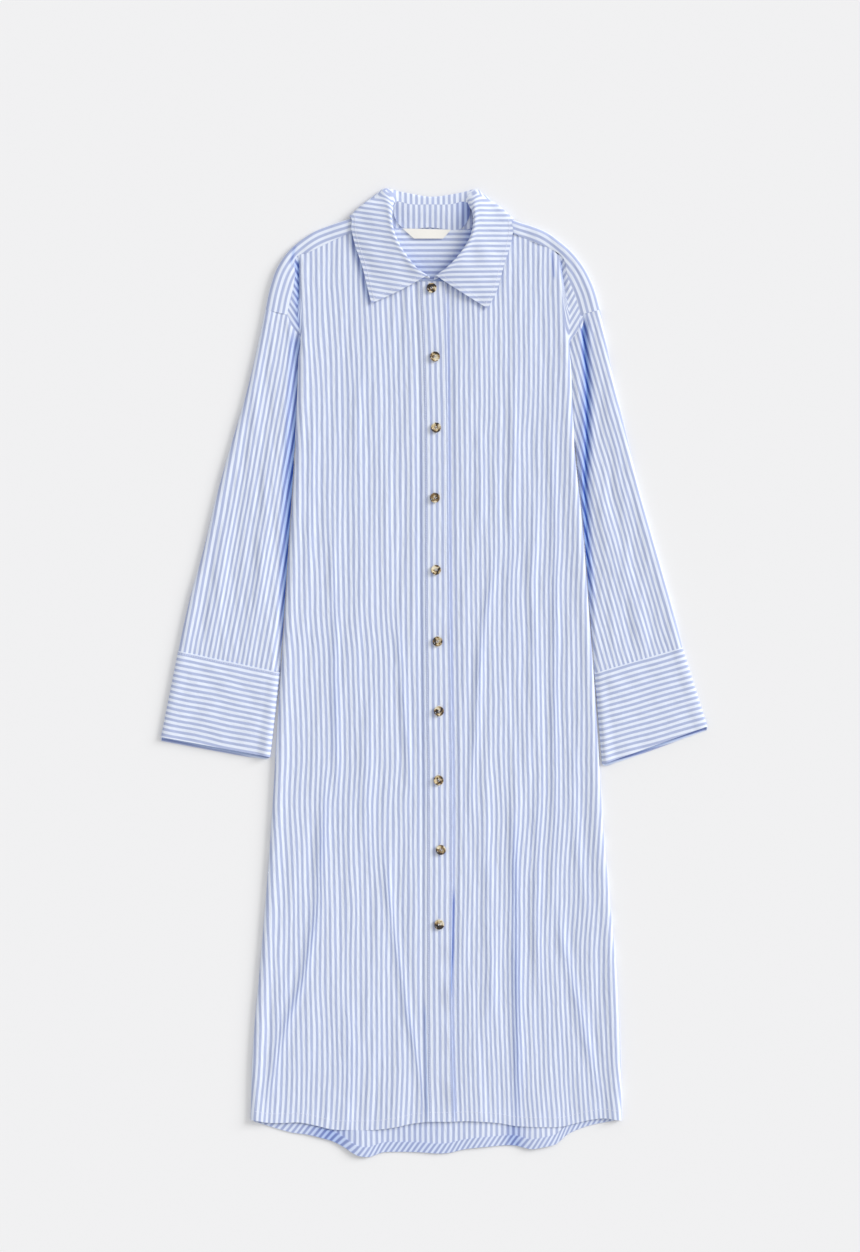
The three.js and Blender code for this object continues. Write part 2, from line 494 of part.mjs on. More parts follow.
// A sleeve is one tube: its first ring follows the armhole, its last the cuff seam.
// Ring order: inner edge, up over the upper layer to the outer fold, back along the lower layer.
function sleevePiece(name, side, front, yokeEnd) {
  const { sign, backArmhole, sleeveOuter, cuff, bodyEdge } = side;
  const armhole = front.rows
    .map((row, j) => ({ row, edge: front.edges[j][4] }))
    .filter(({ row }) => row.kind !== 'fold')
    .slice(0, ROWS.valley + ROWS.notch)
    .map(({ edge }) => edge.clone());
  const overYoke = [...yokeEnd].reverse().slice(1);
  const upper = [...armhole, ...overYoke.slice(0, YOKE.strip)];
  const fold = overYoke.slice(YOKE.strip, YOKE.strip + 3);
  const besideBack = along(backArmhole, 3).slice(1).map((p) => flat(p, LOW));
  const lower = [...overYoke.slice(YOKE.strip + 3), ...besideBack];
  const besideBody = (y) => xAt(bodyEdge, y) + sign * SLEEVE_ASIDE;
  const underarm = new THREE.Vector3(besideBody(UNDERARM_Y), UNDERARM_Y + 6, LOW + TUCK_FOLD);
  lower.push(new THREE.Vector3(underarm.x + sign * 1.2, BACK_UNDERARM_Y, LOW));
  upper.slice(0, ROWS.valley).forEach((p) => { p.x += sign * ARMHOLE_ASIDE; });

  const fractions = Array.from({ length: ROWS.sleeve + 1 }, (_, j) => (j / ROWS.sleeve) ** 1.12);
  const outerCurve = new THREE.SplineCurve(sleeveOuter.map(([x, y]) => new THREE.Vector2(x, y)));
  const outerAt = (t) => outerCurve.getPointAt(t);
  const innerAt = (t) => {
    const y = lerp(underarm.y, cuff.innerTop[1], t);
    return new THREE.Vector3(lerp(besideBody(y), cuff.innerTop[0], smooth(0.85, 1, t)), y, 0);
  };
  const outwardsAt = (t) => {
    const run = outerCurve.getTangentAt(t);
    return new THREE.Vector3(-run.y * -sign, run.x * -sign, 0).normalize();
  };
  const outerLine = fractions.map((t) => (
    vec(outerAt(t).toArray()).addScaledVector(outwardsAt(t), -SIDE_FOLD)));
  const innerLine = fractions.map((t) => innerAt(t).add(new THREE.Vector3(sign * TUCK_FOLD, 0, 0)));
  const ends = { inner: innerLine[ROWS.sleeve], outer: outerLine[ROWS.sleeve] };
  const level = (points) => points.map((p) => flat(p, 0));
  const straight = (from, to, count) => Array.from({ length: count }, (_, i) => (
    mix(from, to, i / (count - 1))));

  const fit = (points, from, to, left, right) => {
    const bottom = level(points);
    const lines = [left.map((p) => p.clone()), right.map((p) => p.clone())];
    lines[0][0].copy(bottom[0]);
    lines[1][0].copy(bottom[bottom.length - 1]);
    return stretch(bottom, straight(from, to, points.length), ...lines);
  };
  const upperGrid = fit(upper, ends.inner, ends.outer, innerLine, outerLine);
  const lowerGrid = fit(lower, ends.outer, ends.inner, outerLine, innerLine);

  const grid = fractions.map((t, j) => {
    if (j === 0) return [underarm.clone(), ...upper, ...fold, ...lower].map((p) => p.clone());
    const innerX = (y) => (y > UNDERARM_Y ? besideBody(Math.min(y, SHOULDER_Y)) : innerLine[j].x);
    const topRow = upperGrid[j].map((p, i) => {
      const aside = Math.abs(p.x - innerX(p.y));
      const dip = (1 - smooth(0, 15, aside)) * (1 - smooth(425, 455, p.y));
      const z = lerp(TOP + 0.3, FOLD_TOP, smooth(28, 2, outerLine[j].distanceTo(flat(p, 0))));
      const settled = lerp(z, VALLEY, dip);
      return flat(p, j === 1 ? lerp(upper[i].z, settled, 0.6) : settled);
    });
    topRow[0].z = VALLEY;
    topRow[topRow.length - 1].z = FOLD_TOP;
    const outer = vec(outerAt(t).toArray());
    const foldRow = [1, 2, 3].map((k) => {
      const [inwards, height] = FOLD_SECTION[k];
      const p = outer.clone().addScaledVector(outwardsAt(t), -inwards * SIDE_FOLD);
      return flat(p, LOW + SIDE_FOLD * (1 + height));
    });
    const lowRow = lowerGrid[j].map((p) => flat(p, LOW));
    const inner = innerAt(t);
    return [flat(inner, LOW + TUCK_FOLD), ...topRow, ...foldRow, ...lowRow];
  });
  setBack(grid, ['bottom', 'top'], SLEEVE_SEAM);
  const counts = { upper: upper.length, fold: fold.length };
  return { mesh: cloth(name, grid, { ring: true }), grid, counts };
}

// A cuff is a tube with as many columns as its sleeve; its lower layer ends a little further out
function cuffPiece(name, side, sleeve) {
  const { cuff } = side;
  const seam = sleeve.grid[sleeve.grid.length - 1];
  const columns = seam.length;
  const { upper, fold } = sleeve.counts;
  const inner = vec(cuff.innerEnd);
  const outer = vec(cuff.outerEnd);
  const run = inner.clone().sub(vec(cuff.innerTop)).normalize();
  const across = outer.clone().sub(inner).normalize();
  const outerColumn = upper + Math.ceil(fold / 2);
  const reach = (p) => p.clone().sub(seam[0]).dot(across);
  const end = seam.map((_, i) => {
    const onTop = i <= outerColumn;
    const share = onTop ? i / outerColumn : (columns - i) / (columns - outerColumn);
    const seamShare = reach(seam[i]) / reach(seam[outerColumn]);
    const p = mix(inner, outer, THREE.MathUtils.clamp(seamShare, 0, 1));
    const foldEdge = i === 0 || i === outerColumn;
    const besideFold = Math.abs(i - outerColumn) === 1;
    const height = foldEdge ? 0 : (besideFold ? 0.707 : 1);
    const z = LOW + CUFF_FOLD * (1 + (onTop ? height : -height));
    const extra = onTop ? 0 : CUFF_UNDERLAP * smooth(0, 0.25, share);
    return flat(p.addScaledVector(run, extra), z);
  });
  const grid = Array.from({ length: ROWS.cuff + 1 }, (_, j) => {
    const t = j / ROWS.cuff;
    return seam.map((p, i) => mix(p, end[i], t));
  });
  grid[0].forEach((p, i) => p.add(end[i].clone().sub(p).setLength(CUFF_SEAM)));
  return cloth(name, grid, { ring: true });
}

function backPanel(rightFront, leftFront) {
  const { right, left } = SIDES;
  const edgeOf = (side, front) => {
    const folded = front.rows.filter((row) => row.kind === 'fold');
    const inset = side.sign * (SIDE_FOLD + SEAM_SETBACK);
    const seam = folded.map((row) => new THREE.Vector3(row.x - inset, row.y, LOW));
    const hold = new THREE.Vector3(seam[seam.length - 1].x, BACK_UNDERARM_Y - 2, LOW);
    return [...seam, hold, ...along([...side.backArmhole].reverse(), 3).map((p) => flat(p, LOW))];
  };
  const rightEdge = edgeOf(right, rightFront);
  const leftEdge = edgeOf(left, leftFront);
  const hem = along(BACK_HEM, COLUMNS.back);
  hem.forEach((p) => { p.z = LOW; });
  rightEdge[0].copy(hem[0]);
  leftEdge[0].copy(hem[COLUMNS.back]);
  const [from, to] = [rightEdge[rightEdge.length - 1], leftEdge[leftEdge.length - 1]];
  const top = hem.map((_, i) => mix(from, to, i / COLUMNS.back));
  const grid = stretch(hem, top, rightEdge, leftEdge);
  grid.forEach((row) => row.forEach((p) => {
    const nearHem = smooth(-545, -612, p.y);
    const wave = HEM_WAVES.reduce((sum, { x, half, lift }) => {
      const aside = (p.x - x) / half;
      return sum + lift * Math.exp(-aside * aside);
    }, 0);
    p.z = LOW + wave * nearHem;
  }));
  setBack(grid, ['left', 'right', 'top']);
  return cloth('back', grid);
}

// Both bands run from hem to neck; the buttonhole band lies on the button band
function bandPiece(name, z, insets) {
  const { right, left } = SIDES;
  const rows = ROWS.side + ROWS.valley + ROWS.notch + ROWS.wedge;
  const grid = Array.from({ length: rows + 1 }, (_, j) => {
    const at = (seam) => {
      const y = lerp(seam[0][1], NECK_FRONT_Y - 1.2, j / rows);
      return new THREE.Vector3(xAt(seam, y), y, z);
    };
    const from = at(right.bandSeam);
    const to = at(left.bandSeam);
    from.x += insets[0];
    to.x -= insets[1];
    return Array.from({ length: COLUMNS.band + 1 }, (_, i) => mix(from, to, i / COLUMNS.band));
  });
  return cloth(name, grid);
}

// Each part of the collar's sections as a smooth line round the neck
function collarLine(key) {
  const points = COLLAR.map((row) => vec(row[key]));
  const last = points.length - 1;
  return (k, t) => {
    const point = (index) => points[THREE.MathUtils.clamp(index, 0, last)];
    const [a, b] = [point(k), point(k + 1)];
    const slopeA = b.clone().sub(point(k - 1)).multiplyScalar(0.5);
    const slopeB = point(k + 2).clone().sub(a).multiplyScalar(0.5);
    const t2 = t * t;
    const t3 = t2 * t;
    return a.clone().multiplyScalar(2 * t3 - 3 * t2 + 1).addScaledVector(slopeA, t3 - 2 * t2 + t)
      .addScaledVector(b, 3 * t2 - 2 * t3).addScaledVector(slopeB, t3 - t2);
  };
}

// Stand and leaf are parts of one smooth section, parted at the stand's top seam
function collarPieces() {
  const keys = ['neck', 'stand', 'roll', 'mid', 'edge'];
  const lines = keys.map(collarLine);
  const sections = [];
  COLLAR.forEach((row, k) => {
    const count = Math.max(row.steps, 1);
    for (let n = 0; n < count; n += 1) {
      const last = k === COLLAR.length - 1;
      const place = last ? [k - 1, 1] : [k, n / count];
      const [neck, stand, roll, mid, edge] = lines.map((line) => line(...place));
      const falling = mix(roll, mid, 0.22);
      falling.z = lerp(roll.z, mid.z, lerp(0.95, 0.3, smooth(3, 8, roll.z)));
      sections.push(new THREE.CatmullRomCurve3([neck, stand, roll, falling, mid, edge]));
    }
  });
  const whole = Array.from({ length: COLLAR_GRID.rows + 1 }, (_, j) => sections.map((section) => {
    const p = section.getPoint(j / COLLAR_GRID.rows);
    return flat(p, Math.max(p.z, LOW));
  }));
  const facing = normalsOf(whole, false);
  const copy = (rows) => rows.map((row) => row.map((p) => p.clone()));
  const top = COLLAR_GRID.stand;
  const stand = setBack(copy(whole.slice(0, top + 1)), ['bottom', 'top'], COLLAR_SEAM);
  // The stand's edge gives way where it turns the corners at the sides of the neck
  const [under, edge] = [stand[top - 1], stand[top]];
  edge.forEach((p, i) => {
    const next = edge[Math.min(i + 1, edge.length - 1)];
    const before = edge[Math.max(i - 1, 0)];
    const tight = next.distanceTo(before) < CORNER_SPACING;
    if (tight) p.add(under[i].clone().sub(p).setLength(CORNER_SETBACK));
  });
  const leaf = setBack(copy(whole.slice(top)), ['bottom'], COLLAR_SEAM);
  return [
    cloth('collar_stand', stand, { facing: facing.slice(0, top + 1) }),
    cloth('collar', leaf, { facing: facing.slice(top) }),
  ];
}

// A sewn-through button with a raised rim round a shallow dish, in radii and thicknesses
const BUTTON_PROFILE = [[0, 0], [0.78, 0], [1, 0.35], [0.97, 0.8], [0.84, 1], [0.66, 0.7], [0, 0.62]];

function buttonPiece(name, [x, y]) {
  const r = BUTTON_RADIUS;
  const h = BUTTON_THICK;
  const profile = BUTTON_PROFILE.map(([radius, height]) => new THREE.Vector2(radius * r, height * h));
  const turned = new THREE.LatheGeometry(profile, BUTTON_SIDES).rotateX(Math.PI / 2);
  const mesh = new THREE.Mesh(turned, buttonMaterial);
  mesh.name = name;
  mesh.position.set(x, y, BUTTONHOLE_BAND_Z + WALL / 2 + BUTTON_GAP);
  return mesh;
}

function labelPiece() {
  const { top, bottom, z, bow, wall, steps } = LABEL;
  const edge = ([from, to]) => Array.from({ length: steps + 1 }, (_, i) => {
    const t = i / steps;
    return flat(mix(vec(from), vec(to), t), z + bow * Math.sin(Math.PI * t));
  });
  const grid = [edge(bottom), edge(top)];
  grid.splice(1, 0, grid[0].map((p, i) => mix(p, grid[1][i], 0.5)));
  return cloth('neck_label', grid, { wall, material: labelMaterial });
}

const dress = new THREE.Group();
const rightFront = frontPanel('front_right', SIDES.right, 'right');
const leftFront = frontPanel('front_left', SIDES.left, 'left');
const rightYoke = yokeHalf(SIDES.right);
const leftYoke = yokeHalf(SIDES.left);
const rightSleeve = sleevePiece('sleeve_right', SIDES.right, rightFront, rightYoke[0]);
const leftSleeve = sleevePiece('sleeve_left', SIDES.left, leftFront, leftYoke[0]);
dress.add(
  backPanel(rightFront, leftFront),
  yokePiece(rightYoke, leftYoke),
  rightFront.mesh,
  leftFront.mesh,
  bandPiece('button_band', BUTTON_BAND_Z, [2.5, SEAM_SETBACK]),
  bandPiece('buttonhole_band', BUTTONHOLE_BAND_Z, [SEAM_SETBACK, 0.8]),
  rightSleeve.mesh,
  leftSleeve.mesh,
  cuffPiece('cuff_right', SIDES.right, rightSleeve),
  cuffPiece('cuff_left', SIDES.left, leftSleeve),
  ...collarPieces(),
  labelPiece(),
);
BUTTONS.forEach((place, i) => dress.add(buttonPiece(`button_${String(i + 1).padStart(2, '0')}`, place)));

export default dress;
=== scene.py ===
# %% [markdown]
# # A striped shirt dress, laid flat
# The dress lies on its back on a pale table, as a shop lays a garment out to show it, and is
# seen from straight above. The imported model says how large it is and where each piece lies.
# This lesson cuts the same pieces again in thin cloth, with creases, stripes, stitches and
# real buttons. It starts with that model, which stays as it is.

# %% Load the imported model
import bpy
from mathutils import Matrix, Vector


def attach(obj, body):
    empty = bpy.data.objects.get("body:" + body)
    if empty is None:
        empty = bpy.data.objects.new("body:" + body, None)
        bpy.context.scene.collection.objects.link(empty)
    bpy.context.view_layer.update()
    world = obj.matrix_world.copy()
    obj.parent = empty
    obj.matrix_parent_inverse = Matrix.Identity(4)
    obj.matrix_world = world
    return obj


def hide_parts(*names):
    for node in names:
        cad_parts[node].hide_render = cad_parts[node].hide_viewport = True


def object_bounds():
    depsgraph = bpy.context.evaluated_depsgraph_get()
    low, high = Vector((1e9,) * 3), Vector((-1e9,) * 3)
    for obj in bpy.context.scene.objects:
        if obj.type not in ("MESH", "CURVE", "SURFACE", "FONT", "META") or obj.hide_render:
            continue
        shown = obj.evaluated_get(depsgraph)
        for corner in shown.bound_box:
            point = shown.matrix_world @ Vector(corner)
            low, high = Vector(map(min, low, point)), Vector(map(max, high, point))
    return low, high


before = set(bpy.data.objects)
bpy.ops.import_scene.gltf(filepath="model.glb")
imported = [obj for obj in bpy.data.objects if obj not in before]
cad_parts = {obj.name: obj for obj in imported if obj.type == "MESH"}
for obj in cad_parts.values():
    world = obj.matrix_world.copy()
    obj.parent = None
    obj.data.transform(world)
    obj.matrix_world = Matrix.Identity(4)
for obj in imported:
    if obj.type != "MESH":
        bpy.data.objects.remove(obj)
cad_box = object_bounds()
print("nodes in the frame:", len(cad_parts))

# %% Modules and units
import math
import bpy
import numpy as np
from mathutils import Vector

MM = 0.001
low_corner, high_corner = (np.array(corner) / MM for corner in cad_box)
print("dress in mm:", np.round(high_corner - low_corner, 1))

# %% [markdown]
# ## Camera, table and light
# A flat garment is photographed from straight above. A long lens far away keeps the hem and
# the collar at one scale. The camera's height follows from how much of the table its frame
# takes in. The light is soft and low from the upper right, so that each layer of cloth throws
# a short shadow to the left, and a bright room fills the shadows.

# %% Camera
PHOTO_PIXELS = (860, 1252)
MM_PER_PIXEL = 1.3
AIM = (-5.5, 60.7)
LENS, SENSOR = 85.0, 36.0

frame_height = PHOTO_PIXELS[1] * MM_PER_PIXEL
camera_height = frame_height * LENS / SENSOR
bpy.ops.object.camera_add(location=(AIM[0] * MM, AIM[1] * MM, camera_height * MM))
camera = bpy.context.object
camera.data.lens = LENS
camera.data.sensor_width = SENSOR
camera.data.clip_end = 50.0
bpy.context.scene.camera = camera
print("camera height in mm:", round(camera_height))

# %% Node helper and colours
def linear(hex_colour):
    """A colour written as sRGB hex, in the linear values that a shader takes."""
    shares = [int(hex_colour[i:i + 2], 16) / 255 for i in (1, 3, 5)]
    turned = [s / 12.92 if s <= 0.04045 else ((s + 0.055) / 1.055) ** 2.4 for s in shares]
    return (*turned, 1.0)


def add_node(tree, kind, settings=None, inputs=None):
    """Adds one node, with its settings, and with values or links for its inputs."""
    node = tree.nodes.new("ShaderNode" + kind)
    for name, value in (settings or {}).items():
        setattr(node, name, value)
    for name, value in (inputs or {}).items():
        if isinstance(value, bpy.types.NodeSocket):
            tree.links.new(value, node.inputs[name])
        else:
            node.inputs[name].default_value = value
    return node


def new_material(name):
    """An empty material, its node tree and its main shader."""
    material = bpy.data.materials.new(name)
    material.use_nodes = True
    return material, material.node_tree, material.node_tree.nodes["Principled BSDF"]


# %% Table
TABLE_COLOUR = "#F1F1F2"
TABLE_SIZE = 8.0

table_paint, tree, shader = new_material("matt_painted_table")
shader.inputs["Base Color"].default_value = linear(TABLE_COLOUR)
shader.inputs["Roughness"].default_value = 0.95
shader.inputs["Specular IOR Level"].default_value = 0.1
bpy.ops.object.select_all(action="DESELECT")
bpy.ops.mesh.primitive_plane_add(size=TABLE_SIZE, location=(0, 0, 0))
table = bpy.context.object
table.name = "table"
table.data.materials.append(table_paint)
print("table across in m:", TABLE_SIZE)

# %% Light
KEY_ELEVATION = 21.0
KEY_AZIMUTH = 27.0
KEY_STRENGTH = 2.7
KEY_SOFTNESS = 26.0
ROOM_STRENGTH = 0.69

elevation = math.radians(KEY_ELEVATION)
azimuth = math.radians(KEY_AZIMUTH)
towards_key = Vector((math.cos(elevation) * math.cos(azimuth),
                      math.cos(elevation) * math.sin(azimuth), math.sin(elevation)))
bpy.ops.object.light_add(type="SUN", location=(2, 2, 2))
key = bpy.context.object
key.rotation_euler = towards_key.to_track_quat("Z", "Y").to_euler()
key.data.energy = KEY_STRENGTH
key.data.angle = math.radians(KEY_SOFTNESS)
room = bpy.data.worlds.new("bright_room")
bpy.context.scene.world = room
room.use_nodes = True
room.node_tree.nodes["Background"].inputs["Color"].default_value = (1, 1, 1, 1)
room.node_tree.nodes["Background"].inputs["Strength"].default_value = ROOM_STRENGTH
bpy.context.scene.view_settings.view_transform = "Standard"
print("key light elevation:", KEY_ELEVATION, "degrees")

# %% [markdown]
# ## The striped cloth
# The cloth is cotton poplin, woven from yarns that were dyed first, so each stripe is the
# same blue on both faces and its edges are as soft as the yarns are thick. The stripes follow
# the warp. Every piece of cloth here carries a UV map in real metres of flat cloth, with U
# across the stripes, so one material fits them all and the stripes bend where the cloth does.

# %% Cotton poplin material
STRIPE_REPEAT = 7.1
STRIPE_SOFTNESS = 0.10
WHITE_YARN, BLUE_YARN = "#E7EEFC", "#B1BCDE"
# The deeper blues that painted shade mixes the white and the blue yarns towards
PAINTED_SHADE_WHITE, PAINTED_SHADE_BLUE = "#8CADEA", "#2B50AE"
YARN_SPACING = 0.9
CRINKLE_WIDTH, CRINKLE_LENGTH = 4.0, 14.0


def poplin():
    """Matt yarn-dyed cotton with stripes, slubs, a plain weave, a fine crinkle and painted shade in its
    folds.
    """
    material, tree, shader = new_material("yarn_dyed_cotton_poplin")
    flat_cloth = add_node(tree, "UVMap", {"uv_map": "cloth"}).outputs["UV"]

    # Slubs: thicker places in the yarn, long along the warp and one yarn wide
    slub_place = add_node(tree, "Mapping", inputs={
        "Vector": flat_cloth, "Scale": (1 / (1.2 * MM), 1 / (18 * MM), 1)})
    slubs = add_node(tree, "TexNoise", inputs={
        "Vector": slub_place.outputs["Vector"], "Scale": 1.0, "Detail": 2.0})

    # Stripes: U counted in repeats, nudged by the slubs so that no edge is ruled straight
    across = add_node(tree, "SeparateXYZ", inputs={"Vector": flat_cloth}).outputs["X"]
    repeats = add_node(tree, "Math", {"operation": "MULTIPLY"}, {
        0: across, 1: 1 / (STRIPE_REPEAT * MM)})
    nudged = add_node(tree, "Math", {"operation": "MULTIPLY_ADD"}, {
        0: slubs.outputs["Fac"], 1: 0.05, 2: repeats.outputs["Value"]})
    wave = add_node(tree, "Math", {"operation": "PINGPONG"}, {0: nudged.outputs["Value"], 1: 0.5})
    blue_share = add_node(tree, "MapRange", {"interpolation_type": "SMOOTHSTEP"}, {
        "Value": wave.outputs["Value"],
        "From Min": 0.25 - STRIPE_SOFTNESS, "From Max": 0.25 + STRIPE_SOFTNESS,
        "To Min": 0.0, "To Max": 1.0})

    # Painted shade: where a piece's painted shade attribute is high, both yarns are mixed towards deeper
    # blues, standing in for deep folds that light reaches only by way of blue cloth
    depth = add_node(tree, "Attribute", {"attribute_name": "painted_fold_shade"}).outputs["Fac"]
    white = add_node(tree, "Mix", {"data_type": "RGBA"}, {
        "Factor": depth, "A": linear(WHITE_YARN), "B": linear(PAINTED_SHADE_WHITE)})
    blue = add_node(tree, "Mix", {"data_type": "RGBA"}, {
        "Factor": depth, "A": linear(BLUE_YARN), "B": linear(PAINTED_SHADE_BLUE)})
    stripes = add_node(tree, "Mix", {"data_type": "RGBA"}, {
        "Factor": blue_share.outputs["Result"],
        "A": white.outputs["Result"], "B": blue.outputs["Result"]})
    heather = add_node(tree, "MapRange", inputs={
        "Value": slubs.outputs["Fac"],
        "From Min": 0.2, "From Max": 0.8, "To Min": 0.94, "To Max": 1.04})
    colour = add_node(tree, "Mix", {"data_type": "RGBA", "blend_type": "MULTIPLY"}, {
        "Factor": 1.0, "A": stripes.outputs["Result"], "B": heather.outputs["Result"]})
    tree.links.new(colour.outputs["Result"], shader.inputs["Base Color"])

    # Weave: real yarns are 0.25 mm apart, finer than any view shows, so these are coarser
    yarns = add_node(tree, "Mapping", inputs={
        "Vector": flat_cloth, "Scale": (1 / (YARN_SPACING * MM), 1 / (YARN_SPACING * MM), 1)})
    weave = add_node(tree, "TexChecker", inputs={"Vector": yarns.outputs["Vector"], "Scale": 1.0})
    weave_bump = add_node(tree, "Bump", inputs={
        "Height": weave.outputs["Fac"], "Strength": 0.25, "Distance": 0.05 * MM})

    # Crinkle: washed cotton puckers in short ridges that run along the warp
    pucker_place = add_node(tree, "Mapping", inputs={
        "Vector": flat_cloth, "Scale": (1 / (CRINKLE_WIDTH * MM), 1 / (CRINKLE_LENGTH * MM), 1)})
    puckers = add_node(tree, "TexNoise", inputs={
        "Vector": pucker_place.outputs["Vector"], "Scale": 1.0, "Detail": 3.0, "Roughness": 0.55})
    bump = add_node(tree, "Bump", inputs={
        "Height": puckers.outputs["Fac"], "Normal": weave_bump.outputs["Normal"],
        "Strength": 0.8, "Distance": 0.9 * MM})
    tree.links.new(bump.outputs["Normal"], shader.inputs["Normal"])

    shader.inputs["Roughness"].default_value = 0.85
    shader.inputs["Specular IOR Level"].default_value = 0.2
    shader.inputs["Sheen Weight"].default_value = 0.08
    shader.inputs["Sheen Roughness"].default_value = 0.6
    return material


cotton = poplin()
print("stripe repeat in mm:", STRIPE_REPEAT)

# %% [markdown]
# ## Cloth as a net of points
# A laid-out garment has a known outline, so each piece starts as a coarse net of points in
# the middle of the cloth, as wide and long as the piece. A smooth line through the net's rows
# and columns gives a fine net, creases are pressed into that, and the cloth gets its thickness
# on both sides of it. A simulation would settle the cloth, but would not keep this outline.

# %% Lines
def smooth(start, end, value):
    """0 before start, 1 after end and a soft slope between them."""
    share = np.clip((np.asarray(value, float) - start) / (end - start), 0, 1)
    return share * share * (3 - 2 * share)


def mix(a, b, share):
    """The point or value at a share of the way from a to b."""
    return a + (b - a) * share


def curve(points, share):
    """Points at the given shares of a smooth line through the given ones."""
    points = np.asarray(points, float)
    last = len(points) - 1
    place = np.clip(np.asarray(share, float), 0, 1) * last
    k = np.minimum(place.astype(int), last - 1)
    t = (place - k)[..., None]
    before, a, b, after = (points[np.clip(k + step, 0, last)] for step in (-1, 0, 1, 2))
    slope_a = (b - before) / 2
    slope_b = (after - a) / 2
    return ((2 * t**3 - 3 * t**2 + 1) * a + (t**3 - 2 * t**2 + t) * slope_a
            + (3 * t**2 - 2 * t**3) * b + (t**3 - t**2) * slope_b)


def lengths_along(points):
    """How far along a line of points each one is."""
    steps = np.linalg.norm(np.diff(points, axis=0), axis=-1)
    return np.concatenate([np.zeros((1, *steps.shape[1:])), np.cumsum(steps, axis=0)])


def shares_by_length(points, shares):
    """Turns shares of a smooth line's length into shares of its points."""
    dense = np.linspace(0, 1, 400)
    lengths = lengths_along(curve(points, dense))
    return np.interp(np.asarray(shares) * lengths[-1], lengths, dense)


def along(points, segments, height=0.0):
    """Evenly spaced points along a smooth line, at one height."""
    line = curve(points, shares_by_length(points, np.linspace(0, 1, segments + 1)))
    return np.column_stack([line, np.full(segments + 1, height)])


def x_at(points, y):
    """X at height y of a line that runs up the body."""
    line = curve(points, np.linspace(0, 1, 600))
    return np.interp(y, line[:, 1], line[:, 0])


def point(x, y, z=0.0):
    """One point in mm."""
    return np.array([x, y, z], float)


# %% Nets
def stretch(bottom, top, left, right):
    """A net stretched between four edges."""
    v = np.linspace(0, 1, len(left))[:, None, None]
    u = np.linspace(0, 1, len(bottom))[None, :, None]
    between = mix(bottom[None], top[None], v) + mix(left[:, None], right[:, None], u)
    corners = mix(mix(bottom[0], bottom[-1], u), mix(top[0], top[-1], u), v)
    return between - corners


def finer(net, step, ring=False):
    """Adds rows to a net, about step mm apart, on smooth lines through its own rows."""
    points = np.concatenate([net, net[:1]]) if ring else net
    chord = np.maximum(np.linalg.norm(np.diff(points, axis=0), axis=2), 1e-4)[..., None]
    slope = np.diff(points, axis=0) / chord
    if ring:
        before, after = np.roll(slope, 1, axis=0), slope
        chord_before = np.roll(chord, 1, axis=0)
        inner = (before * chord + after * chord_before) / (chord + chord_before)
        tangent = np.concatenate([inner, inner[:1]])
    else:
        inner = (slope[:-1] * chord[1:] + slope[1:] * chord[:-1]) / (chord[:-1] + chord[1:])
        tangent = np.concatenate([slope[:1], inner, slope[-1:]])
    rows, places = [], []
    for k in range(len(points) - 1):
        count = max(1, round(float(chord[k].mean()) / step))
        for n in range(count):
            t = n / count
            rows.append((2 * t**3 - 3 * t**2 + 1) * points[k]
                        + (t**3 - 2 * t**2 + t) * chord[k] * tangent[k]
                        + (3 * t**2 - 2 * t**3) * points[k + 1]
                        + (t**3 - t**2) * chord[k] * tangent[k + 1])
            places.append(k + t)
    if not ring:
        rows.append(points[-1])
        places.append(len(points) - 1)
    return np.array(rows), np.array(places)


def fine_net(net, step_up, step_across, ring=False):
    """A fine net, with the place of each of its rows and columns in the coarse one."""
    tall, row_places = finer(net, step_up)
    wide, column_places = finer(tall.transpose(1, 0, 2), step_across, ring)
    return wide.transpose(1, 0, 2), row_places, column_places


def normals_of(net, ring=False):
    """The direction square to the cloth at each point of a net."""
    if ring:
        across = np.roll(net, -1, axis=1) - np.roll(net, 1, axis=1)
    else:
        across = np.gradient(net, axis=1)
    normal = np.cross(across, np.gradient(net, axis=0))
    return normal / np.maximum(np.linalg.norm(normal, axis=2, keepdims=True), 1e-9)


# %% Waves of worn cloth
def ripples(x, y, seed, width, length, count=14):
    """Soft uneven waves, about width mm apart and length mm long, between about -1 and 1."""
    random = np.random.default_rng(seed)
    total = np.zeros(np.broadcast(x, y).shape)
    for _ in range(count):
        across = random.uniform(0.6, 1.4) * 2 * math.pi / width
        along_cloth = random.uniform(-1.3, 1.3) * 2 * math.pi / length
        total += np.sin(across * x + along_cloth * y + random.uniform(0, 2 * math.pi))
    return total / math.sqrt(count)


def waves(x, y, seed, kinds):
    """Several kinds of ripples added up; each kind is a height, a width and a length."""
    return sum(height * ripples(x, y, seed + 10 * n, width, length)
               for n, (height, width, length) in enumerate(kinds))


CREASE_UNEVEN = 0.35
CREASE_TROUGH, TROUGH_PLACE = 0.35, 1.9
CREASE_SHADE = 0.035


def crease_lines(x, y, creases, sign):
    """Height, cloth taken up on the way out from the middle, and shade that creases give."""
    height = np.zeros(np.shape(x))
    shade = np.zeros(np.shape(x))
    taken = np.zeros(np.shape(x))
    for line, half, lift, take in creases:
        path = curve(line, np.linspace(0, 1, 60))
        if path[0, 1] > path[-1, 1]:
            path = path[::-1]
        centre = np.interp(y, path[:, 1], path[:, 0])
        share = (y - path[0, 1]) / (path[-1, 1] - path[0, 1])
        ends = smooth(-0.12, 0.22, share) * (1 - smooth(0.78, 1.12, share))
        aside = (x - centre) / half
        uneven = 1 + CREASE_UNEVEN * np.sin(share * 17 + half) * np.sin(share * 6.3 + lift * 9)
        troughs = CREASE_TROUGH * np.exp(-(np.abs(aside) - TROUGH_PLACE)**2)
        height += lift * uneven * ends * (np.exp(-aside**2) - troughs)
        shade += CREASE_SHADE * take * ends * uneven * np.exp(-(aside * 1.2)**2)
        taken += take * ends * (0.5 + 0.5 * np.tanh(1.3 * sign * aside))
    return height, taken, shade


